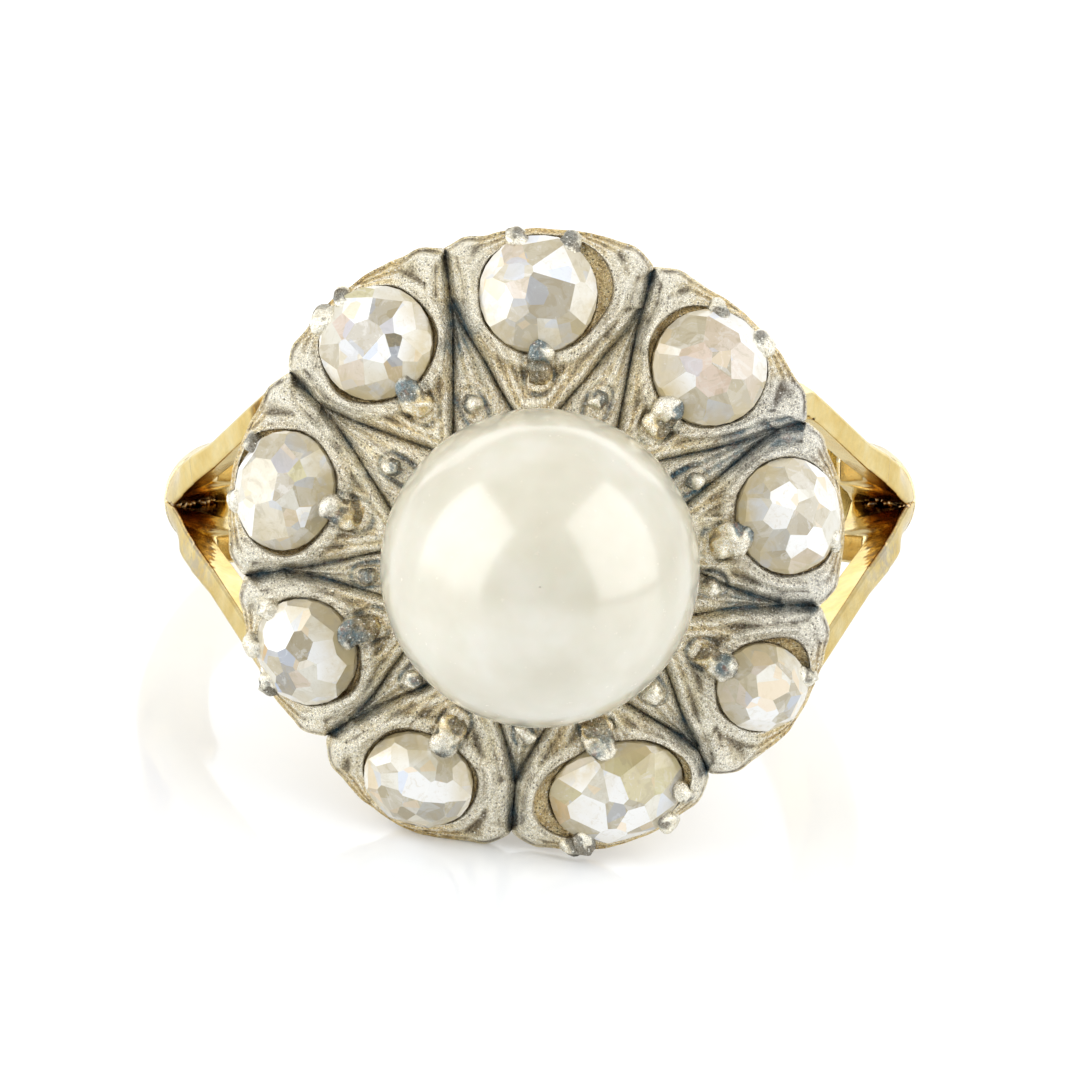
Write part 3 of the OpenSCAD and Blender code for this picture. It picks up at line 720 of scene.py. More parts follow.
def petal(k, mesh):
    """One petal, from its diamond's pocket out to its grooves, notches and rim."""
    outline, kind, humps = petal_outline(k)
    away = outline - stone_centre(k)
    length = norm(away)
    direction = away / length[:, None]
    angle = np.degrees(np.arctan2(direction[:, 1], direction[:, 0])) - STONES[k][0]
    mouth = np.minimum(girdle(k, np.radians(angle), STONE_TILT) + pocket_width(k, angle), length - THIN_EDGE)
    span = length - mouth
    s = np.linspace(0, 1, PETAL_ROWS)[:, None]
    t = 0.35 * s + 0.65 * (1 - np.cos(np.pi * s)) / 2
    from_mouth, from_edge = t * span, (1 - t) * span
    plan = stone_centre(k) + (mouth + from_mouth)[..., None] * direction
    grooved = kind != RIM
    tight = np.clip(span / FULL_SPAN, 0.35, 1)
    firm = np.clip(tight, 0.6, 1)
    lip = LIP * smooth(from_mouth / (0.07 * tight)) * smooth((0.50 * tight - from_mouth) / (0.22 * tight))
    depth = np.where(kind == NOTCH, NOTCH_DEPTH, GROOVE_DEPTH) * grooved * np.clip(tight, 0.7, 1)
    ridge = crest(from_edge / (RIDGE_STEP * firm) + 0.22 * noise(level(plan), 1.3, 33)) - 0.45
    ridge = RIDGE * ridge * grooved * smooth(from_mouth / 0.3)
    ridge = ridge * smooth((RIDGE_REACH * tight - from_edge) / 0.5)
    drop = RIM_DROP * (1 - smooth(from_edge / (0.22 * tight))) * ~grooved
    lobes = segment_wave(plan) * smooth(from_edge / 0.2)
    hollow = 0.09 * bump(from_mouth, 0.62, 0.20) * (kind == GROOVE) * smooth((span - 0.7) / 0.4)
    cuts = bead_cuts(plan)
    marks, halo, lens = point_marks(plan)
    claw_groove_shade = claw_groove_and_shade(plan)
    relief = lip + (ridge + relief_texture(plan)) * (1 - lens) + lobes + marks
    relief = relief - groove_cut(from_edge / firm, depth) - drop - hollow - 0.12 * cuts - 0.07 * claw_groove_shade
    height = under_pearl(plan, dome(plan) + relief)
    blue, dull = valley_values(plan)
    blotch = fractal(level(plan), 0.8, 21)
    outer = smooth((norm(plan) - 4.9) / 1.3)
    tarnish = (0.75 * bump(from_edge, 0, 0.07) + 0.28 * bump(from_edge, 0, 0.22)) * (0.35 + 0.65 * outer)
    valley = 0.9 * blue ** 2 * outer * smooth(0.5 + blotch) * bump(from_edge, 0, 0.24 + 0.36 * blue ** 4)
    # The claw rings add painted shade to the tarnish.
    tarnish = (tarnish * (0.75 + 0.5 * blotch) + valley) * grooved + halo + 0.5 * claw_groove_shade
    grey = dull * smooth((norm(plan) - 4.6) / 1.6) + 0.25 * blotch
    inner_side = bump(turn_apart(angle, 180), 0, 46) * bump(from_mouth, 0.6, 0.8)
    gilt_and_gold_reflection = humps ** 2 * smooth((1.0 - span) / 0.4) * smooth(from_mouth / 0.10)
    gilt_and_gold_reflection = gilt_and_gold_reflection + 0.85 * inner_side * smooth(0.75 + blotch) + 0.8 * cuts
    # Bright share: polish on lips, lobes, V cuts, lens disc and the side towards the pearl, partly painted
    # highlight.
    bright = lip / LIP * 0.6 * (1 - 0.9 * humps ** 3) + segment_wave(plan) / LOBE * 0.7
    bright = bright + 0.8 * cuts + 0.7 * lens + 0.35 * inner_side
    points = np.concatenate([plan, height[..., None]], -1)
    looks = np.clip(np.stack([tarnish, gilt_and_gold_reflection, grey, bright], -1), 0, 1)
    # Lobes are added to the relief, for more painted highlight and less painted shade on them.
    mesh.grid(points, looks, wrap_cols=True, relief=soften(high_pass(relief, 4, True), outer) + 0.06 * lobes)
    pocket(k, mesh, points[0])
    skirt(mesh, points[-1], kind, humps)


def pocket(k, mesh, mouth):
    """Sloping gold wall round one diamond, and the floor behind it."""
    axes, origin = stone_axes(k), stone_origin(k)
    local = (mouth - origin) @ axes.T
    around = np.arctan2(local[:, 1], local[:, 0])
    foot = circle(girdle(k, around) * 1.015, POCKET_FOOT, around)
    rows = [mouth]
    for share in (0.04, 0.25, 0.5, 0.75, 1.0):
        ring = local + (foot - local) * share
        ring[:, 2] -= 0.05 * math.sin(math.pi * share)
        rows.append(origin + ring @ axes)
    for share in (0.99, 0.75, 0.55, 0.35, 0.15, 0.01):
        ring = foot * share
        ring[:, 2] = POCKET_FLOOR + 0.04 * (share > 0.9)
        rows.append(origin + ring @ axes)
    points = np.array(rows)
    points[2:-1] += 0.025 * fractal(points[2:-1], 0.35, 31)[..., None] * axes[2]
    looks = np.zeros(points.shape[:2] + (4,))
    looks[:7, :, 1] = 0.95
    looks[0, :, 1] = 0.3
    # The walls get a little bright share, painted light against their shade.
    looks[1:6, :, 3] = 0.25
    # The floor behind the diamond gets a high bright share, painted light for the light that comes through
    # the stone.
    looks[7:] = (0, 0.45, 0, 0.9)
    mesh.grid(points, looks, wrap_cols=True, flip=True)


def under_height(reach):
    return UNDER_Z + UNDER_RISE * np.clip((reach - UNDER_R) / (EDGE_R - UNDER_R), 0, 1)


def skirt(mesh, edge, kind, humps):
    """Rim wall and underside below one petal."""
    index = np.nonzero(kind == RIM)[0]
    index = np.append(index, index[-1] + 1)
    top = edge[index]
    plan = top[:, :2]
    way = plan / norm(plan)[:, None]
    low = under_height(norm(plan))
    rows = [top]
    for share in (0.3, 0.65, 1.0):
        bulged = plan * (1 + 0.006 * math.sin(math.pi * share))
        rows.append(np.column_stack([bulged, top[:, 2] + (low - top[:, 2]) * share]))
    for r, z in ((UNDER_R, UNDER_Z), (HUB_R, UNDER_Z), (HUB_R, HUB_Z), (0.05, HUB_Z)):
        rows.append(np.column_stack([way * r, np.full(len(plan), z)]))
    looks = np.zeros((len(rows), len(plan), 4))
    looks[:4, :, 1] = humps[index] ** 3 * 0.9
    looks[3:, :, 0] = 0.3
    looks[3:, :, 2] = 0.5
    mesh.grid(np.array(rows), looks)


def wedge(k, mesh):
    """The sunk field between two petals, with its fan of ridges."""
    first, second = groove(k, 0), groove(k, 1)
    q = np.linspace(0, 1, WEDGE_COLS)
    plan = first[:, None] * (1 - q)[:, None] + second[:, None] * q[:, None]
    width = norm(first - second)[:, None]
    from_edge = np.minimum(q, 1 - q) * width
    near_apex = smooth(1 - width / 1.4)
    blotch = fractal(level(plan), 0.8, 21)
    texture = relief_texture(plan)
    cuts = bead_cuts(plan)
    claw_groove_shade = claw_groove_and_shade(plan)
    fan = FAN * (crest(q * FAN_RIDGES + 0.45 * noise(level(plan), 1.1, 37)) - 0.4) * smooth(width / 0.9)
    cut = groove_cut(from_edge, GROOVE_DEPTH - PLATEAU * (1 - near_apex))
    floor = np.maximum(fan * smooth(from_edge / 0.15) - PLATEAU - cut, -GROOVE_DEPTH)
    floor = floor - 0.10 * cuts - 0.05 * claw_groove_shade
    height = under_pearl(plan, dome(plan) + floor + texture)
    blue, dull = valley_values(plan)
    tarnish = (0.6 * bump(from_edge, 0, 0.085) + 0.25 * bump(from_edge, 0, 0.26)) * (0.75 + 0.5 * blotch)
    # The claw rings add painted shade to the tarnish.
    tarnish = tarnish * (0.4 + 0.6 * near_apex) + 0.6 * blue ** 4 * (1 - near_apex) + 0.6 * claw_groove_shade
    tarnish = tarnish + blue * smooth(1.6 * near_apex) * smooth(0.7 + blotch)
    grey = dull * (0.1 + 0.7 * near_apex) + 0.5 * dull ** 4 * (1 - near_apex) + 0.15 * blotch
    gilt_and_gold_reflection = (0.6 + 0.45 * blotch) * (1 - near_apex) + 0.7 * cuts
    # The last share is bright polish over the whole field and the V cuts, partly painted highlight.
    looks = np.clip(np.stack([tarnish, gilt_and_gold_reflection, grey, 0.35 + 0.8 * cuts], -1), 0, 1)
    points = np.concatenate([plan, height[..., None]], -1)
    outer = smooth((norm(plan) - 4.9) / 1.3)
    mesh.grid(points, looks, flip=True, relief=soften(high_pass(floor + texture, 3, False), outer))


def seat(mesh):
    """The bowl under the pearl, from the inner ends of the grooves."""
    ring = []
    for k in range(len(GAPS) - 1, -1, -1):
        b, c, d = groove_end(k, 1), groove_end(k, 0), groove_end(k - 1, 1)
        ring += [b + (c - b) * i / 4 for i in range(4)]
        ring += [c + (d - c) * i / 4 for i in range(4)]
    rows = []
    for share in (1, 0.9, 0.7, 0.45, 0.2, 0.1):
        plan = HEART + (np.array(ring) - HEART) * share
        rows.append(np.column_stack([plan, under_pearl(plan, dome(plan) - GROOVE_DEPTH)]))
    mesh.grid(np.array(rows), (0.3, 0.2, 0.3, 0), wrap_cols=True, flip=True)


def head_piece(name, numbers, with_seat=False):
    mesh = Mesh()
    for k in numbers:
        petal(k, mesh)
        wedge(k, mesh)
    if with_seat:
        seat(mesh)
    return mesh.build(name, SILVER)


# Claws and bead prongs

def nugget(mesh, path, radii, flat, seed, looks, sides=20):
    """A rounded, slightly lumpy rod along a path, with looks that change along it."""
    count = len(path)
    steps = np.arange(count)
    ahead = unit(path[np.minimum(steps + 1, count - 1)] - path[np.maximum(steps - 1, 0)])
    side = unit(np.cross(ahead, [0.3, 0.2, 1.0]))
    other = np.cross(ahead, side)
    a = np.linspace(0, 2 * np.pi, sides, endpoint=False)[:, None]
    out = radii[:, None, None] * (np.cos(a) * side[:, None] + flat * np.sin(a) * other[:, None])
    points = path[:, None] + out
    creased = 0.45 - np.abs(noise(points, 0.30, seed)) - 0.5 * np.abs(noise(points, 0.15, seed + 7))
    lumps = 0.11 * creased + 0.13 * noise(points, 0.5, seed + 3)
    points = points + unit(out) * (lumps * np.minimum(1, radii / 0.15)[:, None])[..., None]
    looks = np.atleast_2d(looks)
    share, knots = np.linspace(0, 1, count), np.linspace(0, 1, len(looks))
    looks = np.stack([np.interp(share, knots, column) for column in looks.T], 1)[:, None]
    # The lumps also go to the relief, which the silver paints as shade in hollows and highlight on tops.
    mesh.grid(points, looks, wrap_cols=True, flip=True, relief=lumps)


def capped(path, radius, tip_share=1.0, steps=22):
    """A smooth path through the points, with radii that round both ends."""
    t, knots = np.linspace(0, 1, steps), np.linspace(0, 1, len(path))
    line = np.stack([np.interp(t, knots, column) for column in np.transpose(path)], 1)
    for _ in range(3):
        line[1:-1] = (line[:-2] + 2 * line[1:-1] + line[2:]) / 4
    near = np.minimum(t, 1 - t) * norm(np.diff(path, axis=0)).sum()
    size = radius * (1 + (tip_share - 1) * t)
    return line, size * np.sqrt(np.clip(1 - (1 - np.clip(near / radius, 0, 1)) ** 2, 0.0004, 1))


def claws_piece():
    mesh = Mesh()
    for i, (number, degrees, size, extra) in enumerate(CLAWS):
        reach = girdle(number - 1, math.radians(degrees))
        out, tip = reach + CLAW_OUT + extra, reach - CLAW_GRIP
        if inner_claw(degrees):
            steps = [(out + 0.70, -0.20), (out + 0.30, 0.0), (out, 0.20), (tip, 0.44)]
            looks = [(0.1, 0.95, 0, 0.1), (0.2, 0.9, 0, 0.2), (0.6, 0.35, 0.55, 0.3), (0.55, 0.1, 0.85, 0.35)]
            thick, flat = 1.2096, 0.7
        else:
            steps = [(out - 0.06, -0.45), (out - 0.11, -0.185), (out - 0.16, 0.08), (tip, 0.32)]
            looks = [(0.2, 0.3, 0.3, 0.2), (0.2, 0.0, 0.5, 0.75)]
            thick, flat = 1.272, 0.66
        path = [at * claw_way(degrees) + [0, 0, up] for at, up in steps]
        line, radii = capped(stone_to_ring(number - 1, path), CLAW_R * size * thick, 0.95)
        nugget(mesh, line, radii, flat, 100 + i, looks)
    for i, gap in enumerate(GAPS):
        p, way = bead_place(gap)
        path = [[*(p + at * way), dome(p) + up] for at, up in ((0.22, -0.25), (0.14, 0.04), (-0.12, 0.16))]
        line, radii = capped(path, BEAD_R, 0.95)
        nugget(mesh, line, radii, 1.0, 300 + i, (0.45, 0.3, 0.5, 0.25))
    return mesh.build("claws_and_beads", WORN_SILVER)


# Diamonds

CROWN_H = 0.86
CROWN_FALL = 0.30
GIRDLE_FACETS = 9
GIRDLE_SIDES = 26
STONE_UNDER = 0.40
CORNER_MERGE = 0.008
FLAT_ANGLE = math.radians(0.8)
FACET_SPREAD = 0.6
# Painted reflection tones of the facets round the girdle: lighter on the outer side, darker on the inner side
OUTER_TONES = "WWwC"
INNER_TONES = "cBbcC"
# Facets of each diamond: millimetres right and up in the picture from its middle, painted reflection tone,
# extra size
FACETS = [
    [(-1.20, 0.80, "W"), (-1.17, -0.35, "W", 0.1), (-0.10, 1.42, "W"), (0.0, 1.02, "B", 0.02),
     (-0.68, 0.88, "P"), (-0.68, 0.38, "B"), (0.50, 0.50, "W", 0.06), (0.30, -0.25, "b", 0.14),
     (-0.60, -0.08, "P"), (-0.66, -0.52, "b"), (1.14, 0.75, "C"), (1.16, -0.42, "w"), (-0.30, -1.08, "G"),
     (0.28, -1.05, "w"), (0.80, -0.92, "B"), (-0.95, -1.0, "c")],
    [(0.50, 1.25, "W", 0.02), (1.12, 0.72, "W", 0.02), (1.36, -0.12, "W", 0.02), (-0.85, 0.98, "c", 0.1),
     (0.15, 0.66, "P", 0.04), (0.66, 0.02, "P", 0.04), (-0.58, 0.16, "S"), (-0.10, -0.50, "S"),
     (-1.12, 0.40, "w", -0.06), (-0.92, -0.50, "W", -0.04), (-1.22, -0.05, "b"), (-0.55, -1.05, "c"),
     (0.10, -1.15, "c"), (0.72, -0.82, "B"), (1.12, -0.62, "P"), (0.25, 0.05, "b")],
    [(0.95, 0.62, "W", 0.06), (1.02, -0.30, "w", 0.02), (-0.55, 1.02, "B"), (0.22, 1.10, "c", 0.02),
     (-0.36, 0.62, "W"), (0.18, 0.60, "w", -0.04), (-0.56, 0.04, "W"), (0.0, -0.72, "W"),
     (0.52, -0.62, "W"), (0.30, 0.18, "B"), (0.02, -0.22, "b"), (-1.02, 0.30, "w"), (-0.95, -0.42, "c"),
     (-0.52, -0.62, "G"), (-0.48, -1.15, "b"), (0.28, -1.16, "P"), (-1.0, 0.78, "G"), (0.62, 0.02, "c")],
    [(-0.22, -0.42, "W", 0.06), (0.05, 0.34, "w", 0.08), (-0.50, 0.28, "C"), (-0.90, -0.05, "P", 0.04),
     (0.75, -0.40, "G", 0.03), (0.46, 0.10, "W", -0.06), (0.32, -0.80, "c"), (-0.52, -0.82, "B"),
     (0.82, 0.18, "c"), (0.45, 0.72, "b"), (-0.25, 0.85, "P"), (0.24, -0.16, "c")],
    [(-0.80, -0.30, "W", 0.10), (-0.20, -0.22, "B", 0.02), (0.38, -0.46, "W", 0.02), (-0.12, -1.15, "W"),
     (0.62, -0.98, "b"), (-1.02, -0.84, "B"), (-0.62, 0.24, "w"), (-0.04, 0.36, "W"),
     (0.55, 0.58, "Y", 0.08), (1.18, 0.58, "y", 0.02), (1.08, -0.22, "w"), (1.58, 0.12, "c"),
     (-1.18, 0.56, "W"), (-1.36, 0.08, "Y"), (-1.60, -0.50, "O"), (1.30, -0.75, "c"), (0.30, 1.05, "Y"),
     (0.28, 0.06, "c", -0.04)],
    [(-0.90, 0.92, "W"), (-0.42, 0.92, "w"), (-0.72, 0.58, "c", -0.03), (-0.60, 0.22, "w"),
     (-0.02, 0.22, "W", 0.06), (-0.62, -0.22, "B", 0.04), (-0.14, -0.28, "c"), (-0.36, -0.62, "b"),
     (0.50, -0.62, "G", 0.02), (0.62, -0.02, "W"), (1.12, -0.04, "W"), (0.32, 0.62, "w"), (0.02, 1.02, "w"),
     (-1.22, 0.20, "w"), (-1.08, -0.36, "P"), (-0.75, -0.92, "G"), (0.05, -1.02, "C"), (1.0, -0.68, "c"),
     (0.85, 0.55, "c")],
    [(-0.62, 0.70, "W", 0.08), (-0.10, 1.10, "w"), (-1.02, 0.86, "w"), (0.10, 0.32, "b", 0.02),
     (-0.22, -0.08, "D"), (0.55, 0.16, "W"), (0.80, -0.36, "W", 0.02), (0.32, -0.32, "w"),
     (0.46, 0.78, "w"), (-0.66, -0.20, "B"), (-1.14, 0.06, "O", -0.02), (-0.70, -0.90, "U", -0.06),
     (-0.95, -0.52, "w"), (-0.30, -0.72, "D"), (0.12, -1.05, "w"), (0.02, -0.62, "P"), (0.62, -0.90, "w")],
    [(-0.45, 0.26, "C", 0.14), (-0.36, 1.18, "B", 0.02), (0.20, 0.80, "P"), (-0.20, -0.84, "C", 0.10),
     (-0.88, -0.62, "W", 0.02), (-1.12, -0.10, "w"), (0.52, 0.58, "y", -0.04), (0.88, 0.80, "w", -0.03),
     (0.82, -0.04, "c"), (0.42, -0.18, "w", -0.03), (0.86, -0.72, "W"), (0.28, -0.80, "c"),
     (-0.12, -1.36, "G"), (0.58, 1.25, "c"), (-0.92, 0.86, "c"), (0.15, 0.18, "b")],
    [(-0.38, 0.76, "W", 0.05), (0.36, 1.30, "w"), (-0.34, 1.28, "y"), (-0.74, 0.34, "S", 0.02),
     (-0.18, 0.02, "b", 0.05), (0.28, 0.76, "b", 0.02), (0.56, 0.44, "P", -0.05), (0.92, 0.52, "W"),
     (1.30, 0.62, "c"), (1.24, 0.0, "w"), (0.28, -0.38, "W"), (0.68, -0.26, "D", -0.02), (0.96, -0.32, "W"),
     (0.62, -0.72, "D"), (0.16, -0.86, "w"), (0.98, -0.74, "w"), (-0.60, -0.38, "C"), (-0.52, -0.88, "P"),
     (-1.12, -0.40, "c"), (-1.06, 0.12, "w"), (-1.08, 0.74, "w"), (0.25, -1.25, "c")],
]
# Painted reflection colour of each tone, and its share of white body
TONES = {
    "W": ((0.97, 0.97, 0.95), 0.94), "w": ((0.86, 0.84, 0.74), 0.82), "C": ((0.84, 0.77, 0.58), 0.76),
    "c": ((0.72, 0.65, 0.47), 0.66), "B": ((0.55, 0.47, 0.28), 0.72), "b": ((0.40, 0.33, 0.18), 0.68),
    "P": ((0.77, 0.63, 0.48), 0.74), "S": ((0.82, 0.64, 0.50), 0.78), "G": ((0.45, 0.44, 0.39), 0.72),
    "D": ((0.17, 0.15, 0.10), 0.72), "Y": ((0.63, 0.53, 0.12), 0.70), "y": ((0.82, 0.77, 0.42), 0.74),
    "O": ((0.80, 0.44, 0.08), 0.72), "U": ((0.26, 0.46, 0.94), 0.72),
}


def half_spaces(planes):
    """Corners of the body inside planes (normal, distance)."""
    normals, distances = np.array([p[0] for p in planes]), np.array([p[1] for p in planes])
    trios = np.array(list(itertools.combinations(range(len(planes)), 3)))
    trios = trios[np.abs(np.linalg.det(normals[trios])) > 1e-7]
    points = np.linalg.solve(normals[trios], distances[trios][..., None])[..., 0]
    return points[(points @ normals.T <= distances + 1e-6).all(axis=1)]


def picture_to_stone(k, x, y):
    """Place on a diamond, in its own plane, of a point seen in the picture."""
    a = math.radians(STONES[k][0])
    return ((x * math.cos(a) + y * math.sin(a)) / math.cos(STONE_TILT), y * math.cos(a) - x * math.sin(a))


def crown_plane(x, y, extra):
    """Plane that touches the crown's bowl above one point."""
    normal = unit(np.array([2 * CROWN_FALL * x, 2 * CROWN_FALL * y, 1.0]))
    height = CROWN_H - CROWN_FALL * (x * x + y * y) + extra
    return normal, float(normal @ np.array([x, y, height]))


def cut_planes(k, half, rng):
    """Planes (normal, distance) of one diamond, and the tone of each."""
    planes, tones = [], []
    for x, y, tone, *extra in FACETS[k]:
        planes.append(crown_plane(*picture_to_stone(k, x, y), -sum(extra) * FACET_SPREAD))
        tones.append(tone)
    for i in range(GIRDLE_FACETS):
        a = 2 * math.pi * (i + 0.4 * rng.uniform()) / GIRDLE_FACETS
        way = np.array([math.cos(a), math.sin(a)])
        reach = 1 / norm(way / half)
        slope = rng.uniform(1.15, 1.5)
        normal = unit(np.array([*(way * slope), 1.0]))
        planes.append((normal, float(normal @ [*(way * reach), rng.uniform(0.06, 0.16)])))
        choice = OUTER_TONES if math.cos(a) > -0.2 else INNER_TONES
        tones.append(choice[rng.integers(len(choice))])
    for i in range(GIRDLE_SIDES):
        a = 2 * math.pi * i / GIRDLE_SIDES
        for slope, size in ((0.0, 1.0), (-0.6, 1.03)):
            normal = np.array([math.cos(a) / half[0], math.sin(a) / half[1], slope])
            planes.append((unit(normal), float(size / norm(normal))))
            tones.append("c")
    planes.append((np.array([0, 0, -1.0]), STONE_UNDER))
    return planes, tones + ["c"]


def cut_body(planes):
    """The convex body inside the planes, its flat facets joined."""
    body = bmesh.new()
    for p in half_spaces(planes):
        body.verts.new(p)
    bmesh.ops.remove_doubles(body, verts=body.verts, dist=CORNER_MERGE)
    result = bmesh.ops.convex_hull(body, input=body.verts)
    loose = [g for g in result["geom_interior"] if isinstance(g, bmesh.types.BMVert)]
    bmesh.ops.delete(body, geom=loose, context="VERTS")
    bmesh.ops.dissolve_limit(body, angle_limit=FLAT_ANGLE, verts=body.verts, edges=body.edges)
    body.normal_update()
    return body


def diamond_piece(k):
    rng = np.random.default_rng(500 + k)
    half = np.array(STONES[k][2:]) / 2
    planes, tones = cut_planes(k, half, rng)
    body = cut_body(planes)
    normals = np.array([p[0] for p in planes])
    look = body.loops.layers.float_color.new("look")
    for f in body.faces:
        # Each facet takes the painted reflection tone of its plane.
        colour, painted_tone_share = TONES[tones[int(np.argmax(normals @ f.normal))]]
        shade = np.array(colour) * rng.uniform(0.95, 1.02)
        for loop in f.loops:
            loop[look] = (*shade, painted_tone_share)
    # Share of the painted gold reflection near the girdle, most on the side towards the pearl.
    rim_share = body.verts.layers.float.new("rim")
    for v in body.verts:
        local = np.array(v.co)
        inward = 0.5 - 0.5 * local[0] / (norm(local[:2]) + 0.01)
        v[rim_share] = float(smooth((norm(local[:2] / half) - 0.55) / 0.40)) * (0.2 + 0.8 * inward)
        v.co = Vector(ring_to_row(stone_to_ring(k, local)))
    mesh = bpy.data.meshes.new(f"cut_diamond_{k + 1}")
    body.normal_update()
    body.to_mesh(mesh)
    body.free()
    mesh.materials.append(DIAMOND)
    return linked(mesh.name, mesh)


# Pearl

PEARL_SIDES = 160
PEARL_ROWS = 110


def pearl_piece():
    mesh = Mesh()
    around = np.linspace(0, 2 * np.pi, PEARL_SIDES, endpoint=False)
    turns = np.linspace(math.pi - math.asin(DRILL_HOLE_R / PEARL_R), 0.004, PEARL_ROWS)
    body = np.array([circle(PEARL_R * math.sin(a), PEARL_R * math.cos(a), around) for a in turns])
    body *= 1 + 0.0012 * fractal(body, 2.2, 81, 2)[..., None]
    hole = [circle(r, POST_DEPTH - PEARL_R + CLEARANCE, around) for r in (0.01, DRILL_HOLE_R)]
    mesh.grid(np.concatenate([hole, body]) + [*HEART, PEARL_Z], (0, 0, 0, 0), wrap_cols=True, flip=True)
    return mesh.build("round_pearl", NACRE)


# Shank

HOOP_ROWS = 200
CROWN_STEPS = 21
BORE_STEPS = 9
BRANCH_ROWS = 130
RAIL_ROWS = 14
COLLAR_SIDES = 120
CUP_SIDES = 40
HOOP_TOP_W = 0.6
OUTLINE_W = [0.5, 2.3, 5.6, 8.4, 9.7, 11.0]
OUTLINE_HALF = [1.19, 1.25, 2.30, 3.62, 4.20, 4.20]
GAP_W = [2.3, 5.6, 9.7, 11.0]
GAP_HALF = [0.0, 1.35, 3.25, 3.25]
VALLEY_LEAN = 1.1
BRANCH_ANGLE = math.radians(22)
BRANCH_DEPTH = 1.1
# How far the outside of a branch falls at the gap, at its ridge and at its outer edge
BRANCH_FALL = [0.13, 0.04, 0.46]
# Points on each side of a branch: two outer faces, outer edge, inside, and the wall of the V
SIDE_STEPS = [9, 5, 9, 5, 26]
BROWN_U = 8.92
BRANCH_FOOT_W = 0.55
RAIL_W = 9.4
SHOULDER_TOP = 10.96
SOLDER_LUMPS = 9
SOLDER_U = 9.0
SOLDER_RUN = 1.15
BACK_HOLE_R = 3.1
COLLAR_FOOT_R = 4.7
COLLAR_FOOT_W = 7.2
COLLAR_R = 6.2
RECESS_R = 4.44
# Radius and height of a cup's section, seen from its diamond
CUP = [(0.01, -2.7), (1.0, -2.7), (1.1, -2.62), (1.2, -2.2), (1.42, -1.3), (1.6, -0.62), (0.01, -0.62)]


def solder(mesh, side):
    """Small lumps of solder along the bottom of one V."""
    rng = np.random.default_rng(700 + side)
    for i in range(SOLDER_LUMPS):
        u = SOLDER_U + SOLDER_RUN * (i + 0.5) / SOLDER_LUMPS
        middle = np.array([u * side, rng.uniform(-0.12, 0.12), 1.15 + 1.15 * (u - 8.9) / 1.3])
        way = unit(rng.normal(size=3)) * 0.10
        line, radii = capped([middle - way, middle + way], rng.uniform(0.09, 0.15), 1.0, 9)
        nugget(mesh, line, radii, 0.8, 720 + i, (0.7, 0.7, 0.2, 0.0), 10)


def shank_piece():
    mesh = Mesh()
    hoop(mesh)
    for side in (-1, 1):
        for half in (-1, 1):
            branch(mesh, side, half)
        solder(mesh, side)
    collar(mesh)
    for k in range(len(STONES)):
        cup(mesh, k)
    return mesh.build("split_shank", GOLD)


def with_caps(rows):
    """Rows of a tube with a nearly closed ring before the first and after the last."""
    caps = [row.mean(axis=0) + 0.02 * (row - row.mean(axis=0)) for row in (rows[0], rows[-1])]
    return np.concatenate([caps[:1], rows, caps[1:]])


def hoop(mesh):
    """D section turned round the finger, open where the branches take over."""
    end = math.degrees(math.asin(HOOP_TOP_W / FINGER_R))
    a = np.radians(np.linspace(180 - end, 360 + end, HOOP_ROWS))[:, None]
    half = HOOP_W / 2
    v = np.concatenate([np.linspace(-half, half, CROWN_STEPS), np.linspace(half, -half, BORE_STEPS)])
    outer = np.arange(len(v)) < CROWN_STEPS
    r = np.where(outer, HOOP_R - HOOP_CROWN_R + np.sqrt(HOOP_CROWN_R ** 2 - v * v), FINGER_R)
    points = with_caps(np.stack([r * np.cos(a), v + 0 * a, r * np.sin(a) + HOOP_RISE * outer], -1))
    looks = np.zeros(points.shape[:2] + (4,))
    looks[..., 3] = 0.35
    looks[[0, 1, -2, -1], :, 1] = 0.8
    looks[[0, -1], :, 0] = 0.6
    mesh.grid(points, looks, wrap_cols=True, flip=True)


def outside_u(w):
    """How far out the shoulders reach at a height."""
    leave_u = HOOP_R * math.cos(BRANCH_ANGLE)
    leave_w = HOOP_R * math.sin(BRANCH_ANGLE) + HOOP_RISE
    if w < leave_w:
        r = HOOP_R - 0.03
        return math.sqrt(r * r - (w - HOOP_RISE) ** 2)
    return leave_u - (w - leave_w) * math.tan(BRANCH_ANGLE)


def inside_u(w):
    """How far in a branch reaches at a height: the finger hole, the open window, then the rail."""
    foot_w = FINGER_R * math.sin(BRANCH_ANGLE)
    rise = w - HOOP_R * math.sin(BRANCH_ANGLE) - HOOP_RISE
    line = HOOP_R * math.cos(BRANCH_ANGLE) - rise * math.tan(BRANCH_ANGLE) - BRANCH_DEPTH
    if w < foot_w:
        bore = math.sqrt(FINGER_R ** 2 - w * w) + 0.01
        return bore + (line - bore) * smooth((w - foot_w + 0.3) / 0.3)
    return line if w <= RAIL_W else 0.0


def crown_fall(v):
    """How far the hoop's crown has fallen at a place across it."""
    return HOOP_CROWN_R - math.sqrt(HOOP_CROWN_R ** 2 - min(v, HOOP_W / 2) ** 2)


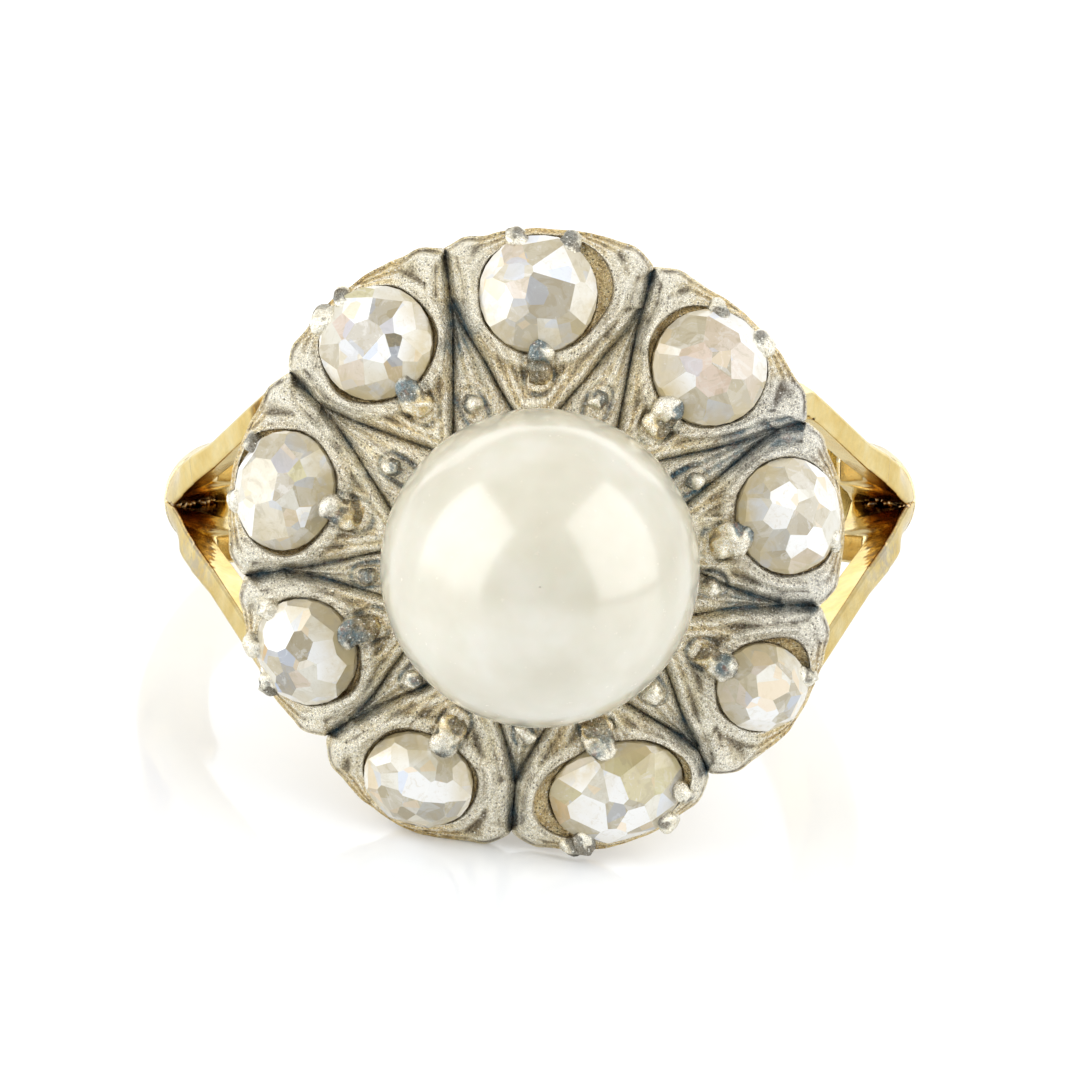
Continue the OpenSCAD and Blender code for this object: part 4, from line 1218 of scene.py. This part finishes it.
def branch(mesh, side, half):
    """One branch of a shoulder, as a row of sections from the hoop to the head."""
    rows, looks = [], []
    below = np.linspace(BRANCH_FOOT_W, RAIL_W, BRANCH_ROWS)
    for w in np.append(below, np.linspace(RAIL_W + 0.005, SHOULDER_TOP, RAIL_ROWS)):
        out, inner = outside_u(w), inside_u(w)
        wide = np.interp(w, OUTLINE_W, OUTLINE_HALF)
        gap = np.interp(w, GAP_W, GAP_HALF)
        gap_inside = min(np.interp(w + VALLEY_LEAN, GAP_W, GAP_HALF), gap + 0.42, wide - 0.3)
        facet = smooth((w - 1.0) / 2.4)
        corners = [(out - (1 - facet) * crown_fall(v) - facet * fall, v)
                   for v, fall in zip((gap, gap + (wide - gap) * 0.70, wide), BRANCH_FALL)]
        corners += [(inner, wide), (inner, gap_inside)]
        points, kinds = section_points(np.array(corners), 0.05 + 0.02 * facet, out, facet)
        rows.append([(u, v, w) for u, v in points])
        looks.append([branch_look(kind, p[0], w, side, half) for kind, p in zip(kinds, points)])
    points = with_caps(np.array(rows)) * [side, half, 1]
    looks = np.array(looks)[[0, *range(len(looks)), -1]]
    mesh.grid(points, looks, wrap_cols=True, flip=side * half < 0)


def section_points(corners, bevel, out, facet):
    """A closed section with rounded corners, and the side on which each of its points lies."""
    points, kinds = [], []
    for i, steps in enumerate(SIDE_STEPS):
        a, b = corners[i], corners[(i + 1) % len(corners)]
        cut = min(bevel / norm(b - a), 0.4)
        for t in np.linspace(cut, 1 - cut, steps):
            p = a + (b - a) * t
            if i < 2:
                p[0] = facet * p[0] + (1 - facet) * (out - crown_fall(p[1]))
            points.append(p)
            kinds.append(i)
    return points, kinds


def branch_look(face, u, w, side, half):
    """Brown, solder, grey tarnish and bright polish on each side of a branch, with painted shade near the
    head on the upper left.
    """
    jag = 0.07 * math.sin(w * 7.0) * math.sin(w * 2.3 + side) + 0.05 * math.sin(w * 23.0 + half)
    if face == 4:
        brown = smooth((u - BROWN_U - jag) / 0.03)
        return brown + 0.22 * (1 - brown), 0.6 * bump(w, 2.5, 0.45), 0.0, 0.1 * (1 - brown)
    if face == 0:
        spots = 0.5 * bump(w, 4.4, 1.3) if half < 0 else 0.0
        # Painted shade and gold reflection of the shaded gallery, on the upper left branch next to the head.
        gallery_shade = 0.75 * smooth((w - 8.4) / 0.5) if side < 0 < half else 0.0
        return 0.14 + gallery_shade, 0.45 * bump(w, 2.4, 0.4), spots, 0.0
    if face == 1:
        return 0.0, 0.0, 0.0, 0.5 if half > 0 else 0.2
    if face == 3 and w < 3.4:
        return 0.55, 0.0, 0.0, 0.5
    return 0.05, 0.0, 0.0, 0.1


def bore_w(u):
    """Height of the finger hole's edge."""
    return np.sqrt(np.maximum(FINGER_R ** 2 - u * u, 0))


def collar(mesh):
    """Gallery wall under the silver, cut below by the finger hole."""
    around = np.linspace(0, 2 * np.pi, COLLAR_SIDES, endpoint=False)
    higher = np.maximum(bore_w(5.0 * np.cos(around)) - COLLAR_FOOT_W, 0)
    foot_r = COLLAR_FOOT_R + 0.4 * higher
    rows = [circle(r, bore_w(r * np.cos(around)), around) for r in (BACK_HOLE_R, 4.0, foot_r)]
    low, high = rows[-1], circle(COLLAR_R, UNDER_Z - CLEARANCE, around)
    rows += [low + (high - low) * share for share in (0.33, 0.66, 1)]
    for r, z in ((RECESS_R, UNDER_Z), (RECESS_R, HUB_Z), (BACK_HOLE_R, HUB_Z)):
        rows.append(circle(r, z - CLEARANCE, around))
    mesh.grid(np.array(rows), (0.25, 0.1, 0, 0), wrap_rows=True, wrap_cols=True, flip=True)


def cup(mesh, k):
    """Gold cup behind one diamond, under the silver and clear of the finger hole."""
    around = np.linspace(0, 2 * np.pi, CUP_SIDES, endpoint=False)
    points = stone_to_ring(k, [circle(r, z, around) for r, z in CUP])
    top = under_height(norm(points[..., :2])) - CLEARANCE
    points[..., 2] = np.maximum(np.minimum(points[..., 2], top), bore_w(points[..., 0]))
    mesh.grid(points, (0.2, 0.1, 0, 0.1), wrap_cols=True, flip=True)


# Pieces

made = [
    (head_piece("silver_petals_upper", [7, 8, 0, 1, 2], True), "cluster_head", "silver"),
    (head_piece("silver_petals_lower", [3, 4, 5, 6]), "cluster_head", "silver"),
    (claws_piece(), "cluster_head", "silver"),
    (shank_piece(), "shank", "gold"),
    (pearl_piece(), "pearl", "pearl"),
]
made += [(diamond_piece(k), f"diamond_{k + 1}", "diamond") for k in range(len(STONES))]
for piece, node, slot in made:
    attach(piece, "root")
    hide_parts(node)

post = frame["nodes"]["pearl_post"]
post.data.materials.clear()
post.data.materials.append(GOLD)


# Stage, light and camera

FLOOR_HALF = 3.0
LIGHT_DISTANCE = 0.35
WALL_SIZE = (0.38, 0.44)
# The tent's light behind the camera and in front of it, and where one fades into the other
FRONT_SHARE = 0.31
BACK_SHARE = 0.80
FADE = (-0.98, -0.35)
# Height over the finger's axis at which the lights aim
LIGHT_AIM_W = 13.0


def floor_piece():
    mesh = bpy.data.meshes.new("white_floor")
    corners = [(x * FLOOR_HALF, y * FLOOR_HALF, 0) for x, y in ((-1, -1), (1, -1), (1, 1), (-1, 1))]
    mesh.from_pydata(corners, [], [(0, 1, 2, 3)])
    mesh.materials.append(floor_material())
    return linked("white_floor", mesh)


floor = floor_piece()

HEAD_ROW = Vector(ring_to_row([*HEART, LIGHT_AIM_W]))
pitch = math.radians(CAMERA_PITCH)
toward = np.array([0, math.sin(pitch), math.cos(pitch)])
BACK = Vector(toward @ AXES)
RIGHT = Vector(U_AXIS)
UP = BACK.cross(RIGHT)


def area(name, azimuth, elevation, size, power):
    """A soft light on the head, placed as the camera sees it: round to the right, and up."""
    a, e = math.radians(azimuth), math.radians(elevation)
    way = RIGHT * (math.sin(a) * math.cos(e)) + BACK * (math.cos(a) * math.cos(e)) + UP * math.sin(e)
    data = bpy.data.lights.new(name, "AREA")
    data.shape = "RECTANGLE"
    data.size, data.size_y = size
    data.energy = power
    light = linked(name, data)
    light.location = HEAD_ROW + LIGHT_DISTANCE * way
    light.rotation_euler = (HEAD_ROW - light.location).to_track_quat("-Z", "Y").to_euler()


area("left_wall", -60, 16, WALL_SIZE, 1.08)
area("right_wall", 60, 16, WALL_SIZE, 0.84)
area("back_light", 180, 38, (0.60, 0.30), 0.55)

world = bpy.data.worlds.new("white_tent")
bpy.context.scene.world = world
world.use_nodes = True
tent = world.node_tree
sky = tent.nodes["Background"]
way = tent.nodes.new("ShaderNodeTexCoord")
axis = tent.nodes.new("ShaderNodeSeparateXYZ")
fade = tent.nodes.new("ShaderNodeMapRange")
fade.interpolation_type = "SMOOTHSTEP"
tent.links.new(way.outputs["Generated"], axis.inputs[0])
tent.links.new(axis.outputs["Y"], fade.inputs["Value"])
for value, socket in zip((*FADE, FRONT_SHARE, BACK_SHARE), ("From Min", "From Max", "To Min", "To Max")):
    fade.inputs[socket].default_value = value
tent.links.new(fade.outputs["Result"], sky.inputs["Strength"])
sky.inputs["Color"].default_value = (1.0, 1.0, 1.0, 1)

camera_data = bpy.data.cameras.new("camera")
camera = linked("camera", camera_data)
aim = np.array([0, 0, CAMERA_AIM_W])
eye = ring_to_row(aim + CAMERA_DISTANCE * toward)
camera.matrix_world = Matrix.Translation(Vector(eye)) @ Matrix((RIGHT, UP, BACK)).transposed().to_4x4()
camera_data.lens = CAMERA_LENS
camera_data.sensor_width = SENSOR
camera_data.clip_start = 0.01
camera_data.clip_end = 20
bpy.context.scene.camera = camera
bpy.context.scene.view_settings.view_transform = "Standard"
